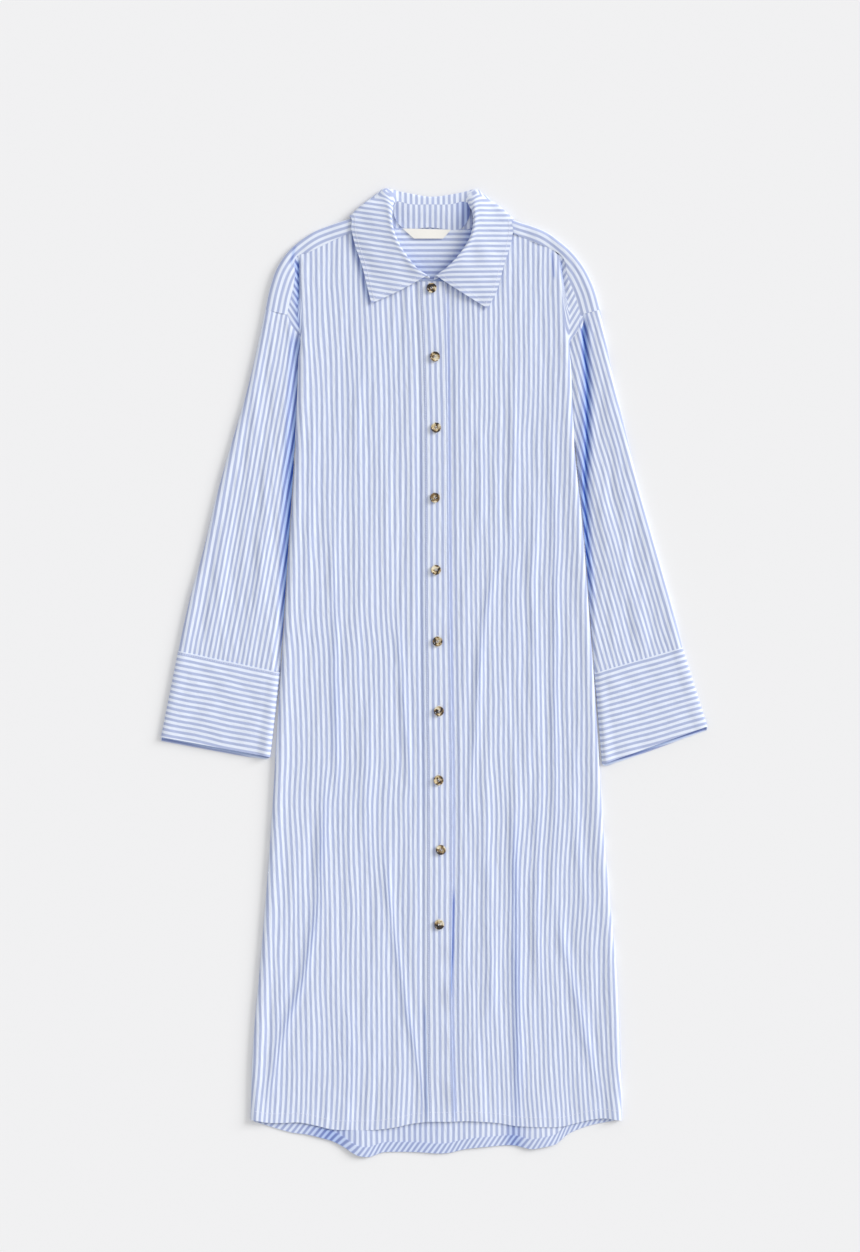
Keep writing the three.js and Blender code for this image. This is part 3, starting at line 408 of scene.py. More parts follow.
def painted_shade_lines(x, y, lines):
    """Shade of the tight lines where one layer hides the light from the next."""
    shade = np.zeros(np.shape(x))
    for line, half, share_of_dark in lines:
        path = np.array(line, float)
        path = path[np.argsort(path[:, 1])]
        centre = np.interp(y, path[:, 1], path[:, 0])
        share = (y - path[0, 1]) / (path[-1, 1] - path[0, 1])
        ends = smooth(-0.08, 0.12, share) * (1 - smooth(0.88, 1.08, share))
        shade += share_of_dark * ends * np.exp(-((x - centre) / half)**2)
    return shade


# %% Cloth with two faces
pieces_made = {}


def cloth(name, net, u, v, wall=0.7, ring=False, normals=None, material=None, depth=None):
    """A closed mesh: the net's points moved out to both faces of the cloth, with end walls, and with any
    painted shade as a point attribute.
    """
    rows, columns = net.shape[:2]
    normals = normals_of(net, ring) if normals is None else normals
    half = np.broadcast_to(np.asarray(wall, float) / 2, (rows, columns))[..., None]
    faces_of_cloth = [net + normals * half, net - normals * half]
    vertices = np.concatenate([face.reshape(-1, 3) for face in faces_of_cloth]) * MM
    last = columns if ring else columns - 1
    j, i = (index.ravel() for index in np.meshgrid(np.arange(rows - 1), np.arange(last), indexing="ij"))
    corners = [(j, i), (j, i + 1), (j + 1, i + 1), (j + 1, i)]
    under = rows * columns

    def vertex(row, column):
        return row * columns + column % columns

    def place(row, column):
        return row * u.shape[1] + column

    quads = [np.stack([vertex(*corner) for corner in corners], axis=1)]
    places = [np.stack([place(*corner) for corner in corners], axis=1)]
    quads.append(quads[0][:, ::-1] + under)
    places.append(places[0][:, ::-1])
    i = np.arange(last)
    for row, turn in ((0, 1), (rows - 1, -1)):
        wall_face = np.stack([vertex(row, i + 1), vertex(row, i), vertex(row, i) + under,
                              vertex(row, i + 1) + under], axis=1)
        quads.append(wall_face[:, ::turn])
        wall_place = np.stack([place(row, i + 1), place(row, i), place(row, i),
                               place(row, i + 1)], axis=1)
        places.append(wall_place[:, ::turn])
    if not ring:
        j = np.arange(rows - 1)
        for column, turn in ((0, 1), (columns - 1, -1)):
            wall_face = np.stack([vertex(j, column), vertex(j + 1, column),
                                  vertex(j + 1, column) + under, vertex(j, column) + under], axis=1)
            quads.append(wall_face[:, ::turn])
            wall_place = np.stack([place(j, column), place(j + 1, column), place(j + 1, column),
                                   place(j, column)], axis=1)
            places.append(wall_place[:, ::turn])
    quads = np.concatenate(quads)
    places = np.concatenate(places)
    a, b, c, d = (vertices[quads[:, k]] for k in range(4))
    volume = (np.einsum("ij,ij->i", a, np.cross(b, c)) + np.einsum("ij,ij->i", a, np.cross(c, d))).sum()
    if volume < 0:
        quads = quads[:, ::-1]
        places = places[:, ::-1]
    name = name + "_cloth"
    mesh = bpy.data.meshes.new(name)
    mesh.from_pydata(vertices.tolist(), [], quads.tolist())
    uv = np.stack([u.ravel(), v.ravel()], axis=1) * MM
    layer = mesh.uv_layers.new(name="cloth")
    layer.data.foreach_set("uv", uv[places.ravel()].ravel())
    # depth is painted shade: stored per point, it turns the cotton's colour a deeper blue
    if depth is not None:
        values = np.clip(np.tile(np.broadcast_to(depth, (rows, columns)).ravel(), 2), 0, 1)
        mesh.attributes.new("painted_fold_shade", "FLOAT", "POINT").data.foreach_set("value", values)
    piece = bpy.data.objects.new(name, mesh)
    bpy.context.collection.objects.link(piece)
    piece.data.materials.append(material or cotton)
    bpy.ops.object.select_all(action="DESELECT")
    piece.select_set(True)
    bpy.context.view_layer.objects.active = piece
    bpy.ops.object.shade_smooth_by_angle(angle=math.radians(50))
    pieces_made[piece.name] = {"face": faces_of_cloth[0], "normals": normals, "net": net, "ring": ring}
    return piece


def dress_piece(piece, node, u, v):
    """Hangs a piece from the root, hides the CAD node it stands for, and prints how large its cloth was cut.
    """
    net = pieces_made[piece.name]["net"]
    if pieces_made[piece.name]["ring"]:
        net = np.concatenate([net, net[:, :1]], axis=1)
    diagonals = net[1:, 1:] - net[:-1, :-1], net[1:, :-1] - net[:-1, 1:]
    area = float(np.linalg.norm(np.cross(*diagonals), axis=2).sum()) / 2 * MM * MM
    width = float(np.ptp(u)) * MM
    length = float(np.ptp(v)) * MM
    area = min(max(area, 0.31 * width * length), width * length)
    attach(piece, "root")
    if node:
        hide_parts(node)
    triangles = 2 * len(piece.data.polygons)
    print(f"{piece.name}: cut {width:.3f} x {length:.3f} m, {area:.3f} m2, {triangles} triangles")


def lengths_across(net, ring=False):
    """Length of cloth across each row, from its first column."""
    points = np.concatenate([net, net[:, :1]], axis=1) if ring else net
    return lengths_along(points.transpose(1, 0, 2)).T


# %% [markdown]
# ## Sizes of the dress
# All sizes are in millimetres, from the middle of the dress's length and width. "right" and
# "left" are the wearer's, so the right side lies at negative X. The tables hold the outline
# of each side: the fold line of the body, the shoulder, the seams and the sleeve.

# %% Layers and seams
SEAM = 0.1
LOW = 0.6
TOP = 4.4
SIDE_FOLD = 2.4
TUCK_FOLD = 1.05
FOLD_TOP = LOW + 2 * SIDE_FOLD
VALLEY = LOW + 2 * TUCK_FOLD
SHOULDER_FOLD = 2.0
CUFF_FOLD = 2.0
COLLAR_LIFT = 1.6
RISE = (538, 556)
SLEEVE_ASIDE = 1.9
WEDGE_INSET = 3.2
CUFF_UNDERLAP = 5.0
BACK_SEAM_Y = 440
UNDERARM_Y = 275
BACK_UNDERARM_Y = 312
NECK_FRONT_Y = 509.2
SHOULDER_Y = 539
BUTTON_BAND_Z = 3.9
BUTTONHOLE_BAND_Z = 5.3
print("thickest layer of folded cloth in mm:", FOLD_TOP)

# %% Outlines of the two sides
SIDES = {
    "right": {
        "sign": -1,
        "body_edge": [(-237.8, -581), (-235.6, -490.5), (-226.5, -386.5), (-218.7, -295.5), (-210.9, -191.5),
                      (-203.1, -61.5), (-194, 68.5), (-185.5, 198.5), (-178.4, 315.5), (-174.5, 432.5),
                      (-177.3, 539)],
        "shoulder_drop": [(-218.9, 471.5), (-214.8, 492.3), (-206.2, 520.9), (-193.4, 541.7), (-187, 549.6)],
        "shoulder_top": [(-187, 549.6), (-162.8, 569), (-134.2, 581.2), (-109.5, 589.4), (-61.5, 607.6)],
        "armhole_notch": [(-176.3, 440.3), (-186.4, 452), (-192, 465)],
        "yoke_drop": [(-192, 465), (-185.5, 488), (-181, 515), (-179.4, 540.4)],
        "yoke_seam": [(-179.4, 540.4), (-159.6, 547.4), (-134.2, 559.9), (-107.5, 571.6), (-61.5, 588.6)],
        "back_armhole": [(-197, 440), (-191.5, 410), (-187.5, 375), (-185.5, 345)],
        "sleeve_outer": [(-218.9, 471.5), (-233, 406.5), (-246, 354.5), (-265.5, 289.5), (-283.7, 224.5),
                         (-299.3, 159.5), (-317.5, 94.5), (-332.2, 28.2)],
        "cuff_top": [(-200.3, 0.5), (-332.2, 28.2)],
        "cuff_end": [(-213.5, -109.6), (-354.5, -83.6)],
        "neck": [(-20.5, 508.4), (-39.8, 534), (-54.4, 561), (-61.5, 588.6)],
        "neck_side": [(-60.6, 596), (-59.6, 600.6)],
        "neck_turn": (-57.6, 604.4),
        "back_neck": [(-56.6, 596), (-53, 578)],
        "band_seam": [(-8.1, -583), (-10.7, -425.5), (-10.7, -165.5), (-13.3, 94.5), (-14.6, 354.5),
                      (-20.5, 508)],
        "hem": [(-237.2, -582), (-210.2, -584.7), (-166.7, -584.7), (-137.2, -592.5), (-84.8, -594.2),
                (-48.4, -589.9), (-23.7, -584.6), (-8.4, -583)],
    },
    "left": {
        "sign": 1,
        "body_edge": [(243.1, -581), (241.5, -490.5), (236.3, -386.5), (227.9, -295.5), (218.5, -191.5),
                      (210.9, -61.5), (201.5, 68.5), (191.4, 198.5), (179.9, 315.5), (174.7, 432.5),
                      (164.8, 539)],
        "shoulder_drop": [(215.2, 471.5), (209, 494.3), (198.6, 518.3), (185.1, 539.1), (176, 548.5)],
        "shoulder_top": [(176, 548.5), (150.5, 569), (127.1, 579.4), (103.1, 587.2), (55.5, 606)],
        "armhole_notch": [(176.6, 430), (186.9, 444), (190.8, 465)],
        "yoke_drop": [(190.8, 465), (183, 490), (173, 516), (166.5, 540)],
        "yoke_seam": [(166.5, 540), (150.5, 550.8), (124, 561.2), (103.1, 570.3), (55.5, 587)],
        "back_armhole": [(194, 440), (190.5, 410), (188, 375), (187, 345)],
        "sleeve_outer": [(215.2, 471.5), (227.2, 406.5), (238.3, 354.5), (253.9, 289.5), (269.5, 224.5),
                         (288.3, 159.5), (306.5, 94.5), (322.1, 32.6)],
        "cuff_top": [(208.6, 0), (322.1, 32.6)],
        "cuff_end": [(218.6, -119), (354.5, -69.7)],
        "neck": [(14.5, 508.4), (34.6, 534), (49.8, 559), (55.5, 587)],
        "neck_side": [(54.4, 594.6), (53.4, 599.2)],
        "neck_turn": (51.2, 603),
        "back_neck": [(50, 595), (46.6, 576.6)],
        "band_seam": [(25.7, -583), (21.8, -425.5), (23.1, -165.5), (19.2, 94.5), (16.6, 354.5), (14.5, 508)],
        "hem": [(243.5, -578.6), (211.6, -579.4), (189.5, -583.8), (161.7, -589.9), (109.5, -589),
                (81.6, -584.7), (55.6, -582.8), (25.6, -581.8)],
        "groove": [(193.5, 462), (196, 418), (198.6, 376.6), (198.6, 327), (198, 289.5), (195.8, 242.7),
                   (197, 203.7), (198.5, 157), (202, 100), (206, 20)],
    },
}
BACK_HEM = [(-234.6, -583), (-189.3, -596.8), (-161.5, -601), (-137.2, -607.5), (-121.4, -612.7),
            (-112.7, -620.5), (-102.3, -626.5), (-88.7, -629.1), (-74.4, -628.3), (-66, -623.3),
            (-20.4, -623.1), (-8.1, -624.8), (20.5, -623.9), (40, -619.2), (64.2, -616.6), (102.4, -614),
            (116.4, -618.3), (130, -618.9), (146, -615.6), (161.7, -611), (170, -602), (185.6, -594.2),
            (203.5, -588), (239.9, -581)]
print("tables for", len(SIDES), "sides")

# %% [markdown]
# ## The fronts
# Each front is one long panel. At its outer edge the cloth folds under, or dips into the
# valley beside the sleeve, and at its inner edge it is sewn to a band of the placket. The
# dress was ironed and then handled, so long soft creases run down it. Each crease takes up a
# little cloth, which crowds the stripes there, and the table of creases says how much.

# %% Creases of the fronts
# Columns: line of the crease, half width, height, cloth taken up
FRONT_CREASES = {
    "right": [
        ([(-132, 170), (-129, 50), (-126, -165)], 5, 0.9, 3.5),
        ([(-48, 60), (-45, 23), (-38, -70), (-30, -152)], 5, 1.1, 4.0),
        ([(-142, -150), (-150, -281), (-168, -384), (-193, -459), (-212, -540)], 6, 1.1, 6.0),
        ([(-64, -240), (-58, -298), (-46, -379), (-34, -446), (-21, -514), (-9, -575)], 5, 1.0, 5.0),
        ([(-98, 430), (-100, 330), (-96, 250)], 7, 0.7, 0.8),
        ([(-84, -20), (-88, -140), (-84, -260)], 7, 0.8, 1.5),
        ([(-112, -430), (-108, -500), (-116, -600)], 9, 1.1, 1.5),
        ([(-158, 330), (-160, 240), (-164, 120)], 6, 0.9, 2.0),
        ([(-192, -380), (-205, -470), (-218, -560)], 6, 0.9, 1.5),
    ],
    "left": [
        ([(78, 160), (74, 119), (63, 53), (57, -13), (52, -93), (45, -172)], 5, 1.2, 4.0),
        ([(152, 330), (156, 150), (156, -67), (157, -150), (155, -245)], 5, 1.1, 3.5),
        ([(103, -180), (105, -300), (107, -430), (107, -600)], 6, 1.2, 5.0),
        ([(160, -310), (166, -351), (183, -419), (199, -487), (214, -545)], 6, 1.1, 4.0),
        ([(104, 400), (102, 240), (97, 60)], 6, 1.3, 2.0),
        ([(56, 330), (60, 250), (56, 170)], 6, 1.0, 1.5),
        ([(132, 220), (128, 120), (132, -80)], 6, 1.2, 2.0),
        ([(66, -200), (74, -380), (72, -480)], 7, 1.1, 2.0),
        ([(134, -150), (132, -300), (138, -420)], 6, 1.1, 2.5),
        ([(180, -80), (184, -200), (192, -300)], 6, 1.0, 1.5),
    ],
}

# Painted shade along lines where one layer hides the light from the next. Columns: line, half width, darkness
PAINTED_SHADE_LINES = {
    "right": [
        ([(-12, -430), (-10, -515), (-8.5, -583)], 2.0, 0.6),
        ([(-16, 330), (-14, 60), (-12, -200)], 4.5, 0.16),
        ([(-132, 40), (-130, -110)], 4, 0.12),
        ([(-107.5, 578), (-104.5, 555), (-95, 524), (-87.5, 492), (-84, 478)], 3.6, 0.6),
    ],
    "left": [
        ([(25.5, -285), (24, -361), (22, -395), (21, -425)], 1.5, 0.95),
        ([(21, -420), (23, -500), (26, -583)], 1.6, 0.45),
        ([(19, 480), (19, 200), (22, 0), (24, -280)], 1.4, 0.3),
        ([(152, 547), (154, 530), (156, 512)], 1.6, 0.55),
        ([(4, 512), (35, 493.5), (66, 472.5)], 3.0, 0.55),
        ([(104, -200), (106, -350), (107, -594)], 4.5, 0.22),
    ],
}
# Painted shade on the yoke near the right armhole
YOKE_PAINTED_SHADE_LINES = [([(-180, 558), (-183, 545), (-186, 530)], 2.2, 0.6)]

# Sections of the outer edge: place across it from the fold, and height
FOLD_SECTION = [(1, 1), (0.293, 0.707), (0, 0), (0.293, -0.707), (1, -1)]
VALLEY_SECTION = [(-2.4, FOLD_TOP), (-0.7, 4.7), (0.1, 3.7), (0.8, 2.95), (1.5, VALLEY)]
WEDGE_SECTION = [(0, FOLD_TOP), (0.3, 4.7), (0.5, 4.3), (0.75, 4.6), (1, 4.9)]
ROWS = {"side": 14, "valley": 5, "notch": 2, "wedge": 3, "sleeve": 13, "cuff": 3}
COLUMNS = {"yoke_seam": 7, "neck": 4, "band": 3, "back": 28}


# %% Front net
def front_rows(side):
    """Rows of a front from hem to yoke: kind, fold line and, beside the yoke, the seam."""
    edge, sign = side["body_edge"], side["sign"]
    rows = [("fold", x_at(edge, y), y, None)
            for y in np.linspace(edge[0][1], UNDERARM_Y, ROWS["side"] + 1)]
    valley_top = side["armhole_notch"][0][1]
    for y in np.linspace(UNDERARM_Y, valley_top, ROWS["valley"] + 1)[1:]:
        rows.append(("valley", x_at(edge, y), y, None))
    seams = [*along(side["armhole_notch"], ROWS["notch"])[1:],
             *along(side["yoke_drop"], ROWS["wedge"])[1:]]
    for seam in seams:
        x = x_at(edge, min(seam[1], edge[-1][1])) - sign * WEDGE_INSET
        rows.append(("wedge", x, seam[1], seam))
    return rows


def front_edge(row, sign):
    """Five points of one row's outer edge, from the upper layer out to the seam."""
    kind, x, y, seam = row
    if kind == "fold":
        return [point(x - sign * inwards * SIDE_FOLD, y, LOW + SIDE_FOLD * (1 + height))
                for inwards, height in FOLD_SECTION]
    if kind == "valley":
        return [point(x + sign * outwards, y, z) for outwards, z in VALLEY_SECTION]
    return [point(mix(x, seam[0], share), mix(y, seam[1], share), z) for share, z in WEDGE_SECTION]


def front_net(side, seam_height):
    """The coarse net of a front, its edge sections and its rows."""
    sign, seam = side["sign"], side["band_seam"]
    rows = front_rows(side)
    edges = np.array([front_edge(row, sign) for row in rows])
    outer = edges[:, 0] * (1, 1, 0)
    seam_y = np.linspace(seam[0][1], seam[-1][1], len(rows))
    inner = np.column_stack([x_at(seam, seam_y), seam_y, np.zeros(len(rows))])
    neck = along(side["neck"][::-1], COLUMNS["neck"])
    top = np.concatenate([along(side["yoke_seam"], COLUMNS["yoke_seam"]), neck[1:]])
    hem = along(side["hem"], len(top) - 1)
    hem[0], hem[-1], top[0], top[-1] = outer[0], inner[0], outer[-1], inner[-1]
    net = stretch(hem, top, outer, inner)
    to_fold = np.abs(net[..., 0] - outer[:, None, 0])
    to_band = np.abs(net[..., 0] - inner[:, None, 0])
    near_band = mix(seam_height, TOP, smooth(0, 22, to_band))
    net[..., 2] = mix(edges[:, :1, 2], near_band, smooth(0, 30, to_fold))
    return np.concatenate([edges[:, :0:-1], net], axis=1), edges, rows


right_net, right_edges, right_rows = front_net(SIDES["right"], BUTTONHOLE_BAND_Z)
left_net, left_edges, left_rows = front_net(SIDES["left"], BUTTON_BAND_Z)
print("coarse net of a front:", right_net.shape[:2])

# %% Fronts
EDGE_COLUMNS = 4
HEM_TURN = 13.0
CLOTH_WALL = 0.6
UNDERLAP = 3.2
CROWDING = {"right": 1.04, "left": 1.09}
LEAN = {"right": 8.0, "left": 18.0}
# Height, width and length of each kind of wave
FRONT_WAVES = [(0.35, 46, 260), (0.22, 19, 120)]
FRONT_WOBBLE = [(0.45, 60, 150), (0.2, 26, 60)]
FRONT_HEM_WAVES = [(0.5, 90, 900)]
HEM_DROP = 1.1
# Depth of a dip, its place from the seam or fold, and its half width
BAND_SEAM_DIP = (0.9, 5, 3.5)
WEDGE_DIP = (2.2, 3.2, 2.4)
WEDGE_SLANT = 0.6
# How far painted shade reaches into each wedge from the body's fold
WEDGE_SHADE = {"right": 9.0, "left": 3.0}


def front(name, key, net):
    """A front panel with its creases, its turned hem, its stripes along the grain and painted shade."""
    side = SIDES[key]
    sign = side["sign"]
    net = net.copy()
    net[-1, :, 1] += UNDERLAP
    net[-1, :, 2] = np.minimum(net[-1, :, 2], 3.9)
    wedge_rows = [row[0] == "wedge" for row in (right_rows if key == "right" else left_rows)]
    net[wedge_rows, 0, 0] += sign * UNDERLAP
    net[wedge_rows, 0, 2] -= 0.9
    fine, _, column_places = fine_net(net, 4.0, 2.6)
    x, y = fine[..., 0], fine[..., 1]
    fold = np.searchsorted(column_places, EDGE_COLUMNS)
    upper = column_places[None] >= EDGE_COLUMNS
    to_fold = np.where(upper, np.abs(x - x[:, fold:fold + 1]), 0)
    to_band = np.abs(x - x_at(side["band_seam"], y))
    to_top = lengths_along(fine[::-1])[::-1]
    to_hem = lengths_along(fine)
    plain = lengths_across(fine)

    height, taken, shade = crease_lines(x, y, FRONT_CREASES[key], sign)
    seed = 11 if key == "right" else 12
    height += waves(x, y, seed, FRONT_WAVES)
    inside = smooth(2, 18, to_fold) * smooth(3, 16, to_band) * smooth(2, 22, to_top)
    hem_drop = (1 - smooth(20, 90, to_hem)) * smooth(8, 30, to_fold) * smooth(0, 20, to_band)
    hem_wave = waves(x, y, seed + 20, FRONT_HEM_WAVES)
    fine[..., 2] += height * inside * smooth(0, 8, to_hem) + hem_drop * (hem_wave - HEM_DROP)
    dip, place, half = BAND_SEAM_DIP
    fine[..., 2] -= dip * np.exp(-((to_band - place) / half) ** 2)

    # The cloth dives beside the body's fold, above the end of the armhole seam
    out = plain[:, fold:fold + 1] - plain
    in_wedge = smooth(430, 462, y) * (1 - smooth(532, 540, y))
    dip, place, half = WEDGE_DIP
    fine[..., 2] -= dip * np.where(upper, 0, np.exp(-((out - place) / half) ** 2)) * in_wedge

    wide = to_band[:, fold:fold + 1]
    share = np.clip(to_band / wide, 0, 1)
    wobble = waves(x, y, seed + 30, FRONT_WOBBLE)
    lean = LEAN[key] * share * (1 - smooth(-560, 480, y))
    u = to_band * CROWDING[key] + lean + taken * smooth(0, 8, to_band) + wobble * smooth(3, 16, to_band)
    slant = WEDGE_SLANT * (430 - y) * smooth(0, 2, out) * smooth(425, 440, y)
    u = np.where(upper, u, u[:, fold:fold + 1] + out + slant)
    # Painted shade along the creases and the listed lines, and in the wedge beside the body's fold, darkens
    # the cloth's colour
    shade += painted_shade_lines(x, y, PAINTED_SHADE_LINES[key])
    wedge_shade = smooth(0, 1.5, out) * np.exp(-(out / WEDGE_SHADE[key]) ** 2) * in_wedge
    depth = np.where(upper, shade, wedge_shade)
    wall = CLOTH_WALL + 0.5 * (1 - smooth(HEM_TURN - 1.5, HEM_TURN + 1.5, to_hem))
    piece = cloth(name, fine, u, y, wall, depth=depth)
    dress_piece(piece, name, u, y)


front("front_right", "right", right_net)
front("front_left", "left", left_net)

# %% [markdown]
# ## The yoke
# The yoke is the piece over the shoulders. It wraps from the back, over the shoulder line and
# down to a seam on each front, and at the neck it ends at the collar. Its stripes run along
# the shoulders and curve down over the drop of the sleeve head.

# %% Yoke columns
YOKE_FLAT, YOKE_STRIP = 3, 2
YOKE_WAVES = [(0.35, 40, 60)]
NECK_SHADE, LEAF_SHADE = 0.3, 0.85
YOKE_FOLD_ROW = YOKE_FLAT + 2


def collar_lift(x, y):
    """The yoke rides up where the collar's back leaf lies under it."""
    return COLLAR_LIFT * smooth(*RISE, y) * (1 - smooth(113, 130, np.abs(x + 3.5)))


def flat_places(start_y, end_y):
    """Places along the flat layer, with two at the foot and head of its rise to the collar."""
    foot = min(RISE[0], mix(start_y, end_y, 0.6))
    head = min(RISE[1], mix(start_y, end_y, 0.85))
    return [0, (foot - start_y) / (end_y - start_y), (head - start_y) / (end_y - start_y), 1]


def yoke_column(start, shoulder, inwards, end):
    """One column of the yoke: back seam, shoulder line, round it and down to the front seam."""
    fold_in = shoulder + inwards * SIDE_FOLD
    column = []
    for share in flat_places(start[1], fold_in[1]):
        p = mix(start, fold_in, share)
        column.append(point(p[0], p[1], LOW + collar_lift(p[0], p[1])))
    lift = collar_lift(fold_in[0], fold_in[1])
    radius = mix(SIDE_FOLD, SHOULDER_FOLD, lift / COLLAR_LIFT)
    for degrees in (45, 90, 135, 180):
        turn = math.radians(degrees)
        p = fold_in - inwards * SIDE_FOLD * math.sin(turn)
        column.append(point(p[0], p[1], LOW + lift + radius * (1 - math.cos(turn))))
    last_z = column[-1][2]
    for j in range(1, YOKE_STRIP + 1):
        p = mix(fold_in, end, j / YOKE_STRIP)
        column.append(point(p[0], p[1], mix(last_z, 4.9 + 0.5 * lift / COLLAR_LIFT, j / YOKE_STRIP)))
    return column


def inwards_from(run, sign):
    """The direction square to a shoulder line, towards the body."""
    direction = point(-sign * abs(run[1]), -abs(run[0]))
    return direction / np.linalg.norm(direction)


def yoke_half(side):
    """Columns of one half of the yoke, from the armhole to the side of the neck."""
    sign = side["sign"]
    armhole_x = side["back_armhole"][0][0]
    shoulder = np.concatenate([along(side["shoulder_drop"], ROWS["wedge"]),
                               along(side["shoulder_top"], COLUMNS["yoke_seam"])[1:]])
    seam = np.concatenate([along(side["yoke_drop"], ROWS["wedge"]),
                           along(side["yoke_seam"], COLUMNS["yoke_seam"])[1:]])
    last = len(shoulder) - 1
    columns = []
    for i, p in enumerate(shoulder):
        run = shoulder[min(i + 1, last)] - shoulder[max(i - 1, 0)]
        start = point(mix(armhole_x, armhole_x * 0.42, i / last), BACK_SEAM_Y)
        columns.append(yoke_column(start, p, inwards_from(run, sign), seam[i]))
    inwards = inwards_from(shoulder[last] - shoulder[last - 1], sign)
    for i, end in enumerate(side["neck_side"]):
        start = point(armhole_x * (0.38 - 0.04 * i), BACK_SEAM_Y)
        p = shoulder[last] + point(-sign * (0.8 + 0.8 * i), -0.4 - 0.6 * i)
        columns.append(yoke_column(start, p, inwards, point(*end)))
    return columns


def yoke_back_neck():
    """Columns that end at the back of the neck, where the yoke is one flat layer."""
    right, left = SIDES["right"], SIDES["left"]
    neck = along([right["back_neck"][1], (-3, 576.6), left["back_neck"][1]], 8)[:, :2]
    ends = [right["neck_turn"], right["back_neck"][0], *neck, left["back_neck"][0], left["neck_turn"]]
    steps = YOKE_FLAT + 4 + YOKE_STRIP
    starts = np.linspace(right["back_armhole"][0][0], left["back_armhole"][0][0], len(ends)) * 0.30
    columns = []
    for start_x, end in zip(starts, ends):
        _, foot, head, _ = flat_places(BACK_SEAM_Y, end[1])
        shares = [0, foot, *np.linspace(head, 1, steps - 1)]
        line = [mix(point(start_x, BACK_SEAM_Y), point(*end), share) for share in shares]
        columns.append([point(p[0], p[1], LOW + collar_lift(p[0], p[1])) for p in line])
    return columns


right_yoke = yoke_half(SIDES["right"])
left_yoke = yoke_half(SIDES["left"])
yoke_net = np.array([*right_yoke, *yoke_back_neck(), *left_yoke[::-1]]).transpose(1, 0, 2)
print("coarse net of the yoke:", yoke_net.shape[:2])

# %% Yoke
yoke_fine, yoke_rows, _ = fine_net(yoke_net, 2.2, 3.5)
fold_row = np.searchsorted(yoke_rows, YOKE_FOLD_ROW)
down = lengths_along(yoke_fine)
from_fold = down - down[fold_row:fold_row + 1]
level = yoke_fine[..., 1] - high_corner[1] + 20
u = mix(from_fold, level, smooth(18, 60, -from_fold))
u = mix(level, u, smooth(58, 78, np.abs(yoke_fine[..., 0])))
v = yoke_fine[..., 0]
on_strip = smooth(YOKE_FOLD_ROW + 1, YOKE_FOLD_ROW + 2.5, yoke_rows)[:, None]
shoulders = smooth(70, 90, np.abs(yoke_fine[..., 0]))
to_seam = down[-1:] - down
relief = waves(yoke_fine[..., 0], yoke_fine[..., 1], 21, YOKE_WAVES)
yoke_fine[..., 2] += on_strip * shoulders * relief
yoke_fine[..., 2] -= on_strip * shoulders * 0.5 * np.exp(-(to_seam / 2.5) ** 2)
yoke_fine[..., 2] = np.maximum(yoke_fine[..., 2], LOW)
# Painted shade: a line near the right armhole, some low in the neck, and more beside the left side of the
# neck where the collar's left leaf stands over the yoke
shade = painted_shade_lines(yoke_fine[..., 0], yoke_fine[..., 1], YOKE_PAINTED_SHADE_LINES) * on_strip
neck_line = curve(SIDES["left"]["neck"], np.linspace(0, 1, 60))
to_leaf = np.interp(yoke_fine[..., 1], neck_line[:, 1], neck_line[:, 0]) - yoke_fine[..., 0]
neck_shade = NECK_SHADE * (1 - smooth(508, 560, yoke_fine[..., 1]))
neck_shade += LEAF_SHADE * (1 - smooth(-4, 24, to_leaf))
neck_shade *= 1 - shoulders
yoke_piece = cloth("yoke", yoke_fine, u, v, 0.9, depth=shade + neck_shade)
dress_piece(yoke_piece, "yoke", u, v)

# %% [markdown]
# ## Sleeves and cuffs
# A sleeve is one tube, pressed flat. Its first ring follows the armhole and its last the
# seam of the cuff. Beside the body the upper layer sinks into a deep narrow valley, darkened
# partly by its real depth and partly by painted dark-blue shade, which stands in for light
# that only reaches it by way of blue cloth. The cuff is a doubled band with its stripes
# round the arm, and its lower layer shows a little at the wrist.

# %% Sleeve net
SLEEVE_TOP_COLUMNS = 9
SLEEVE_LEAN = {"right": 10.5, "left": 16.0}
SLEEVE_CROWDING = {"right": 1.13, "left": 1.17}
SLEEVE_WAVES = [(0.3, 34, 200), (0.2, 16, 90)]
SLEEVE_WOBBLE = [(0.4, 50, 130)]
VALLEY_FLOOR = 1.4
SEAM_DIP, SEAM_DIP_HALF = 0.4, 2.5
# Half widths of the left sleeve's groove: its floor, then the dark core and the shaded flanks of its painted
# shade
GROOVE_HALF, GROOVE_SHADE_CORE, OUTER_SHADE_FLANK, INNER_SHADE_FLANK = 3.4, 4.2, 8.0, (12, 5)
# Heights up the body, and how wide the painted shade in the right sleeve's valley is at each
VALLEY_SHADE_WIDTHS = [-60, 0, 40, 75, 157, 263, 330, 420], [2.5, 3, 5, 9, 15, 19, 18, 17]
SLEEVE_CREASES = {
    "right": [
        ([(-228, 400), (-236, 300), (-244, 180)], 8, 1.0, 0.8),
        ([(-262, 240), (-276, 150), (-290, 50)], 9, 1.1, 0.8),
        ([(-214, 300), (-222, 180), (-232, 60)], 8, 1.2, 1.0),
    ],
    "left": [
        ([(222, 390), (236, 300), (252, 190)], 8, 1.0, 0.8),
        ([(240, 170), (258, 90), (270, 40)], 9, 1.1, 0.9),
        ([(214, 250), (228, 170), (240, 100)], 8, 1.0, 0.8),
    ],
}


def on_upper_layer(places):
    """1 on the upper layer of a sleeve's or cuff's ring, with soft ends, and 0 on the rest."""
    last = SLEEVE_TOP_COLUMNS
    return smooth(0.6, 1.4, places) * (1 - smooth(last - 1.2, last, places))


